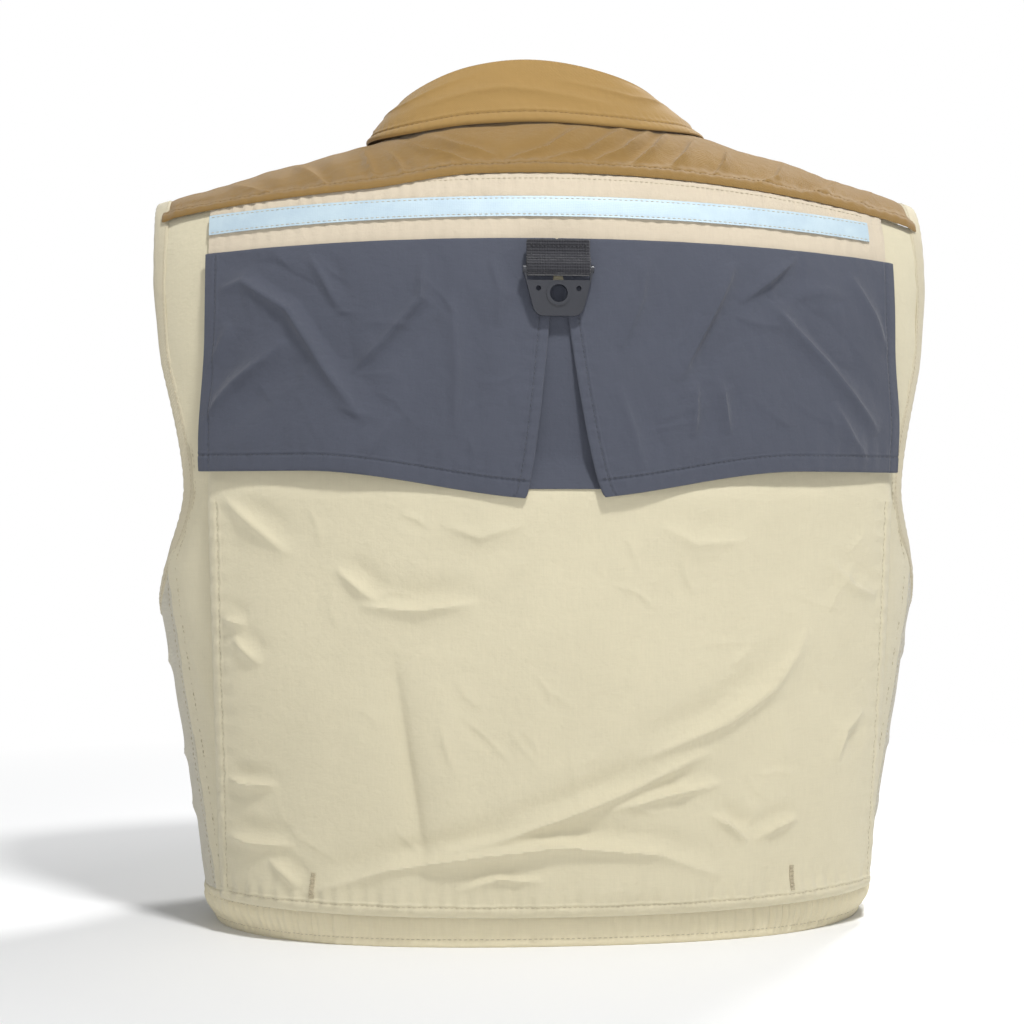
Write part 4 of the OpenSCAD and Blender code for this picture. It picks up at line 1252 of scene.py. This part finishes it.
def pouch(x0, width, z0, z1, deep):
    """A sewn-on pocket with a gusset, open at its top: u across from 0 to 1, v up from 0 to 1."""
    def face(u, v, lift):
        x = mix(x0 + width, x0, u)
        z = mix(z0, z1, v)
        side = np.minimum(u, 1 - u) * width
        foot = v * (z1 - z0)
        raised = quarter((side - 0.3) / 4.2) * quarter((foot - 0.3) / 4.2)
        out = mix(2.0, SHELL_T + 0.4 + deep, raised)
        belly = 0.9 * np.sin(pi * u) * np.sin(pi * np.clip(v, 0, 1) ** 0.8) * (deep > 15)
        seam = 0.45 * bell(side - 4.2, 1.4) + 0.45 * bell(foot - 4.2, 1.4) - 0.4 * bell(side - 8, 1)
        seam = seam - 0.4 * bell(foot - 8, 1) - 0.5 * bell(z1 - z - 9, 0.9) + 0.4 * ease((11 - z1 + z) / 2)
        gathers = 0.25 * pucker(z, side, 6, 9, 71) + 0.25 * pucker(x, foot, 6, 9, 72)
        slack = folds(x, z, [
            ([(x0 + 8, z0 + 12), (x0 + 30, z0 + 24), (x0 + 56, z0 + 22)], 1.0, 5),
            ([(x0 + width - 8, z0 + 14), (x0 + width - 34, z0 + 30), (x0 + width - 60, z0 + 34)], 1.0, 5),
            ([(x0 + width - 14, z1 - 24), (x0 + width - 34, z1 - 50), (x0 + width - 40, z1 - 74)], 0.8, 5)])
        slack = slack + 0.4 * ripple(x, z, 40, 73)
        loose = ease((side - 5) / 10) * ease((foot - 5) / 10)
        return on_front(x, z, out + raised * (seam + gathers + belly) + loose * slack * 0.7 + lift)
    return face


def flap(x0, width, z0, z1, deep):
    """A flap: u across, v from 0 at its free edge to 1 at the seam, where it bends in to the body."""
    out = SHELL_T + deep + 2.4
    rise = z1 - z0
    def face(u, v, lift):
        x = mix(x0 + width + 2, x0 - 2, u)
        above = v * rise
        side = np.minimum(u, 1 - u) * (width + 4)
        round_corner = 5 * (1 - quarter((side + 0.2) / 9))
        z = z0 + np.maximum(above, 0) + round_corner * (1 - ease(above / (0.5 * rise)))
        turn_in = quarter(np.clip((rise - above) / 14, 0, 1))
        off = mix(SHELL_T + 0.8, out, turn_in) + 2
        edges = hem(side, 6.5, 0.35) + hem(above, 6.5, 0.35) - 0.45 * bell(rise - above - 4.5, 0.8)
        gathers = 0.2 * pucker(x, above, 5.5, 9, 81) + 0.15 * pucker(above, side, 5.5, 9, 82)
        wave = 0.5 * ripple(x, z, 50, 83) * ease(above / 8) * turn_in
        lift_edge = 0.8 * bell(above, 12) * np.sin(pi * u) ** 2
        return on_front(x, z, off - 0.35 + edges + gathers + wave + lift_edge + lift)
    return face


def loop_tape(x0, x1, z0, z1, off):
    """A short piece of loop tape on a pocket's wall."""
    def face(u, v, lift):
        fuzz = 0.12 * ripple(u * 40, v * 16, 5, 91)
        return on_front(mix(x1, x0, u), mix(z0, z1, v), off + 1.0 + fuzz + lift)
    return face


POCKETS = {
    "chest": dict(x0=18, width=108, z0=240, z1=342, deep=13),
    "lower": dict(x0=18, width=142, z0=34, z1=178, deep=22),
}
FLAPS = {
    "chest": dict(x0=18, width=108, z0=302, z1=356, deep=13),
    "lower": dict(x0=18, width=142, z0=132, z1=194, deep=22),
}
TAPES = {
    "chest": dict(x0=50, x1=94, z0=308, z1=324, off=SHELL_T + 13.6),
    "lower": dict(x0=66, x1=110, z0=140, z1=158, off=SHELL_T + 22.6),
}


def edge_rows(face, inset, foot, top, rise):
    """Rows of stitches up a piece's two sides, at that inset from each, and across its foot and top."""
    across = np.linspace(inset, 1 - inset, 200)
    sides = [(face, stitch_path(u, len(rise)), rise) for u in (inset, 1 - inset)]
    return sides + [(face, across, stitch_path(v, 200)) for v in (foot, top)]


def with_edges(step, near, size, far_extra=0):
    """Even positions from 0 to 1, with closer ones at those distances from both ends of the size."""
    return np.unique(np.concatenate([spaced(0, 1, step), near / size, 1 - (near + far_extra) / size]))


def build_pocket(kind, side):
    face = for_side(pouch(**POCKETS[kind]), side)
    width, rise = POCKETS[kind]["width"], POCKETS[kind]["z1"] - POCKETS[kind]["z0"]
    near = np.array([0.3, 1.0, 2.0, 3.0, 4.0, 5.0, 6.5, 7.5, 8.5])
    u = with_edges(2 / width, near, width)
    v = with_edges(2 / rise, near, rise, 1)
    name = kind + "_pocket_" + side
    add_cloth(name + "_cloth", face, u, v, 1.3, BEIGE, [name], "front_" + side)
    rows = edge_rows(face, 8 / width, 8 / rise, 1 - 9 / rise, np.linspace(8 / rise, 1 - 9 / rise, 200))
    add_stitches(name + "_topstitch", rows, BEIGE_THREAD, "front_" + side)


def build_flap(kind, side):
    face = for_side(flap(**FLAPS[kind]), side)
    width, rise = FLAPS[kind]["width"] + 4, FLAPS[kind]["z1"] - FLAPS[kind]["z0"]
    near = np.array([0.5, 1.5, 3, 4.5, 5.3, 6, 7])
    u = with_edges(2 / width, near, width)
    v = with_edges(1.6 / rise, near, rise)
    name = kind + "_flap_" + side
    add_cloth(name + "_cloth", face, u, v, 1.7, BEIGE, [name], name)
    rows = edge_rows(face, 5.3 / width, 5.3 / rise, 1 - 4.5 / rise, np.linspace(5.3 / rise, 0.93, 150))
    add_stitches(name + "_topstitch", rows, BEIGE_THREAD, name)


def build_loop_tape(kind, side):
    add_cloth(kind + "_loop_tape_" + side, for_side(loop_tape(**TAPES[kind]), side), spaced(0, 1, 0.03),
              spaced(0, 1, 0.08), 0.9, LOOP, ["pocket_loop_tape_" + side], "front_" + side)


def build_fronts():
    for side in SIDES:
        body = "front_" + side
        face = for_side(front_panel, side)
        u = np.unique(np.concatenate([spaced(0, 1, 0.011), 1 - np.array([0.02, 0.027, 0.034, 0.041])]))
        add_cloth("front_panel_cloth_" + side, face, u, spaced(0, 1, 0.0075), 1.6, BEIGE,
                  ["front_panel_" + side], "shoulder_" + side)
        rise = np.linspace(0.005, 0.995, 300)
        z = mix(25.5, FRONT_YOKE_Z, rise)
        width = tucked_edge(z, FRONT_SCOOP) - FRONT_EDGE_X
        rows = [(face, 1 - 6.8 / width, rise)]
        add_stitches("front_panel_topstitch_" + side, rows, BEIGE_THREAD, "shoulder_" + side)
        face = for_side(waistband, side)
        last = 180 - float(angle_at(13.5, 0.0))
        # The front waistbands take the same beige painted lighter.
        add_cloth("waistband_front_cloth_" + side, face, spaced(SEAM_ANGLE + 0.5, last, 0.45),
                  spaced(0, 1, 0.06), 2.4, WAIST_PAINTED_LIGHT, ["waistband_front_" + side], body)
        along = np.linspace(SEAM_ANGLE + 0.8, last - 0.3, 400)
        rows = [(face, along, stitch_path(share, 400)) for share in (0.18, 0.795)]
        add_stitches("waistband_front_stitching_" + side, rows, BEIGE_THREAD, body)
        face = for_side(zip_tape, side)
        add_cloth("zip_tape_cloth_" + side, face, spaced(0, 1, 0.08), spaced(0, 1, 0.012), 1.0, TAPE,
                  ["zip_tape_" + side], "shoulder_" + side)
        build_teeth(side)
        for kind in POCKETS:
            build_pocket(kind, side)
            build_flap(kind, side)
        for kind in TAPES:
            build_loop_tape(kind, side)


def finish_hardware():
    """The CAD's own moulded and metal pieces keep their shapes and take finished materials."""
    finishes = {"net_ring": PLASTIC, "zip_slider": BRASS, "zip_pull": BRASS, "zip_bottom_stop": BRASS,
                "tool_ring": STEEL, "tool_tab": TAB_WEBBING}
    for node, material in finishes.items():
        obj = bpy.data.objects[node]
        for place in obj.material_slots:
            place.material = material


# ---- Studio ----


def build_studio():
    build_floor()
    build_sky()
    add_light("key", (-0.3, 1.0, 2.0), 0.25, 31)
    add_light("fill", (0.3, 2.1, 0.2), 0.8, 10)
    add_light("front", (-0.95, -1.15, 1.95), 0.5, 30)
    bpy.context.scene.view_settings.view_transform = "Standard"


def build_floor():
    """Plain white paper that fades into the plain white background."""
    floor = bpy.data.materials.new("studio_paper")
    floor.use_nodes = True
    tree = floor.node_tree
    shader = tree.nodes["Principled BSDF"]
    shader.inputs["Base Color"].default_value = (0.93, 0.93, 0.93, 1)
    shader.inputs["Roughness"].default_value = 0.9
    shader.inputs["Specular IOR Level"].default_value = 0.1
    place = tree.nodes.new("ShaderNodeTexCoord")
    away = tree.nodes.new("ShaderNodeVectorMath")
    away.operation = "LENGTH"
    tree.links.new(place.outputs["Object"], away.inputs[0])
    fade = tree.nodes.new("ShaderNodeMapRange")
    fade.inputs["From Min"].default_value = 0.35
    fade.inputs["From Max"].default_value = 1.1
    tree.links.new(away.outputs["Value"], fade.inputs["Value"])
    glow = tree.nodes.new("ShaderNodeEmission")
    glow.inputs["Strength"].default_value = 1.0
    blended = tree.nodes.new("ShaderNodeMixShader")
    tree.links.new(fade.outputs[0], blended.inputs[0])
    tree.links.new(shader.outputs[0], blended.inputs[1])
    tree.links.new(glow.outputs[0], blended.inputs[2])
    tree.links.new(blended.outputs[0], tree.nodes["Material Output"].inputs["Surface"])
    mesh = bpy.data.meshes.new("studio_floor")
    reach = 40
    mesh.from_pydata([(-reach, -reach, 0), (reach, -reach, 0), (reach, reach, 0), (-reach, reach, 0)], [],
                     [(0, 1, 2, 3)])
    mesh.materials.append(floor)
    ground = bpy.data.objects.new("studio_floor", mesh)
    bpy.context.scene.collection.objects.link(ground)


def build_sky():
    """The background shows plain white, and lights the vest more gently than that."""
    world = bpy.data.worlds.new("studio")
    world.use_nodes = True
    tree = world.node_tree
    sky = tree.nodes["Background"]
    sky.inputs["Color"].default_value = (0.93, 0.96, 1, 1)
    sky.inputs["Strength"].default_value = 0.3
    backdrop = tree.nodes.new("ShaderNodeBackground")
    backdrop.inputs["Color"].default_value = (1, 1, 1, 1)
    ray = tree.nodes.new("ShaderNodeLightPath")
    choose = tree.nodes.new("ShaderNodeMixShader")
    tree.links.new(ray.outputs["Is Camera Ray"], choose.inputs[0])
    tree.links.new(sky.outputs[0], choose.inputs[1])
    tree.links.new(backdrop.outputs[0], choose.inputs[2])
    tree.links.new(choose.outputs[0], tree.nodes["World Output"].inputs["Surface"])
    bpy.context.scene.world = world


def add_light(name, place, size, power):
    light = bpy.data.lights.new(name, "AREA")
    light.shape = "DISK"
    light.size = size
    light.energy = power
    lamp = bpy.data.objects.new(name, light)
    lamp.location = place
    aim = lamp.location.copy()
    aim.z -= 0.27
    lamp.rotation_euler = aim.to_track_quat("Z", "Y").to_euler()
    bpy.context.scene.collection.objects.link(lamp)


def build_camera():
    """Level with the middle of the vest, behind the wearer and a little to their left."""
    turned = radians(5.3)
    away = 1.365
    lens = bpy.data.cameras.new("camera")
    lens.lens = 70.5
    lens.sensor_width = 36
    lens.shift_x = -0.0268
    camera = bpy.data.objects.new("camera", lens)
    camera.location = (away * sin(turned), away * cos(turned), 0.27)
    camera.rotation_euler = (radians(90), 0, radians(180) - turned)
    bpy.context.scene.collection.objects.link(camera)
    bpy.context.scene.camera = camera


build_camera()
build_yokes_and_collar()
build_back()
build_trims()
build_bindings()
build_fronts()
finish_hardware()
build_studio()
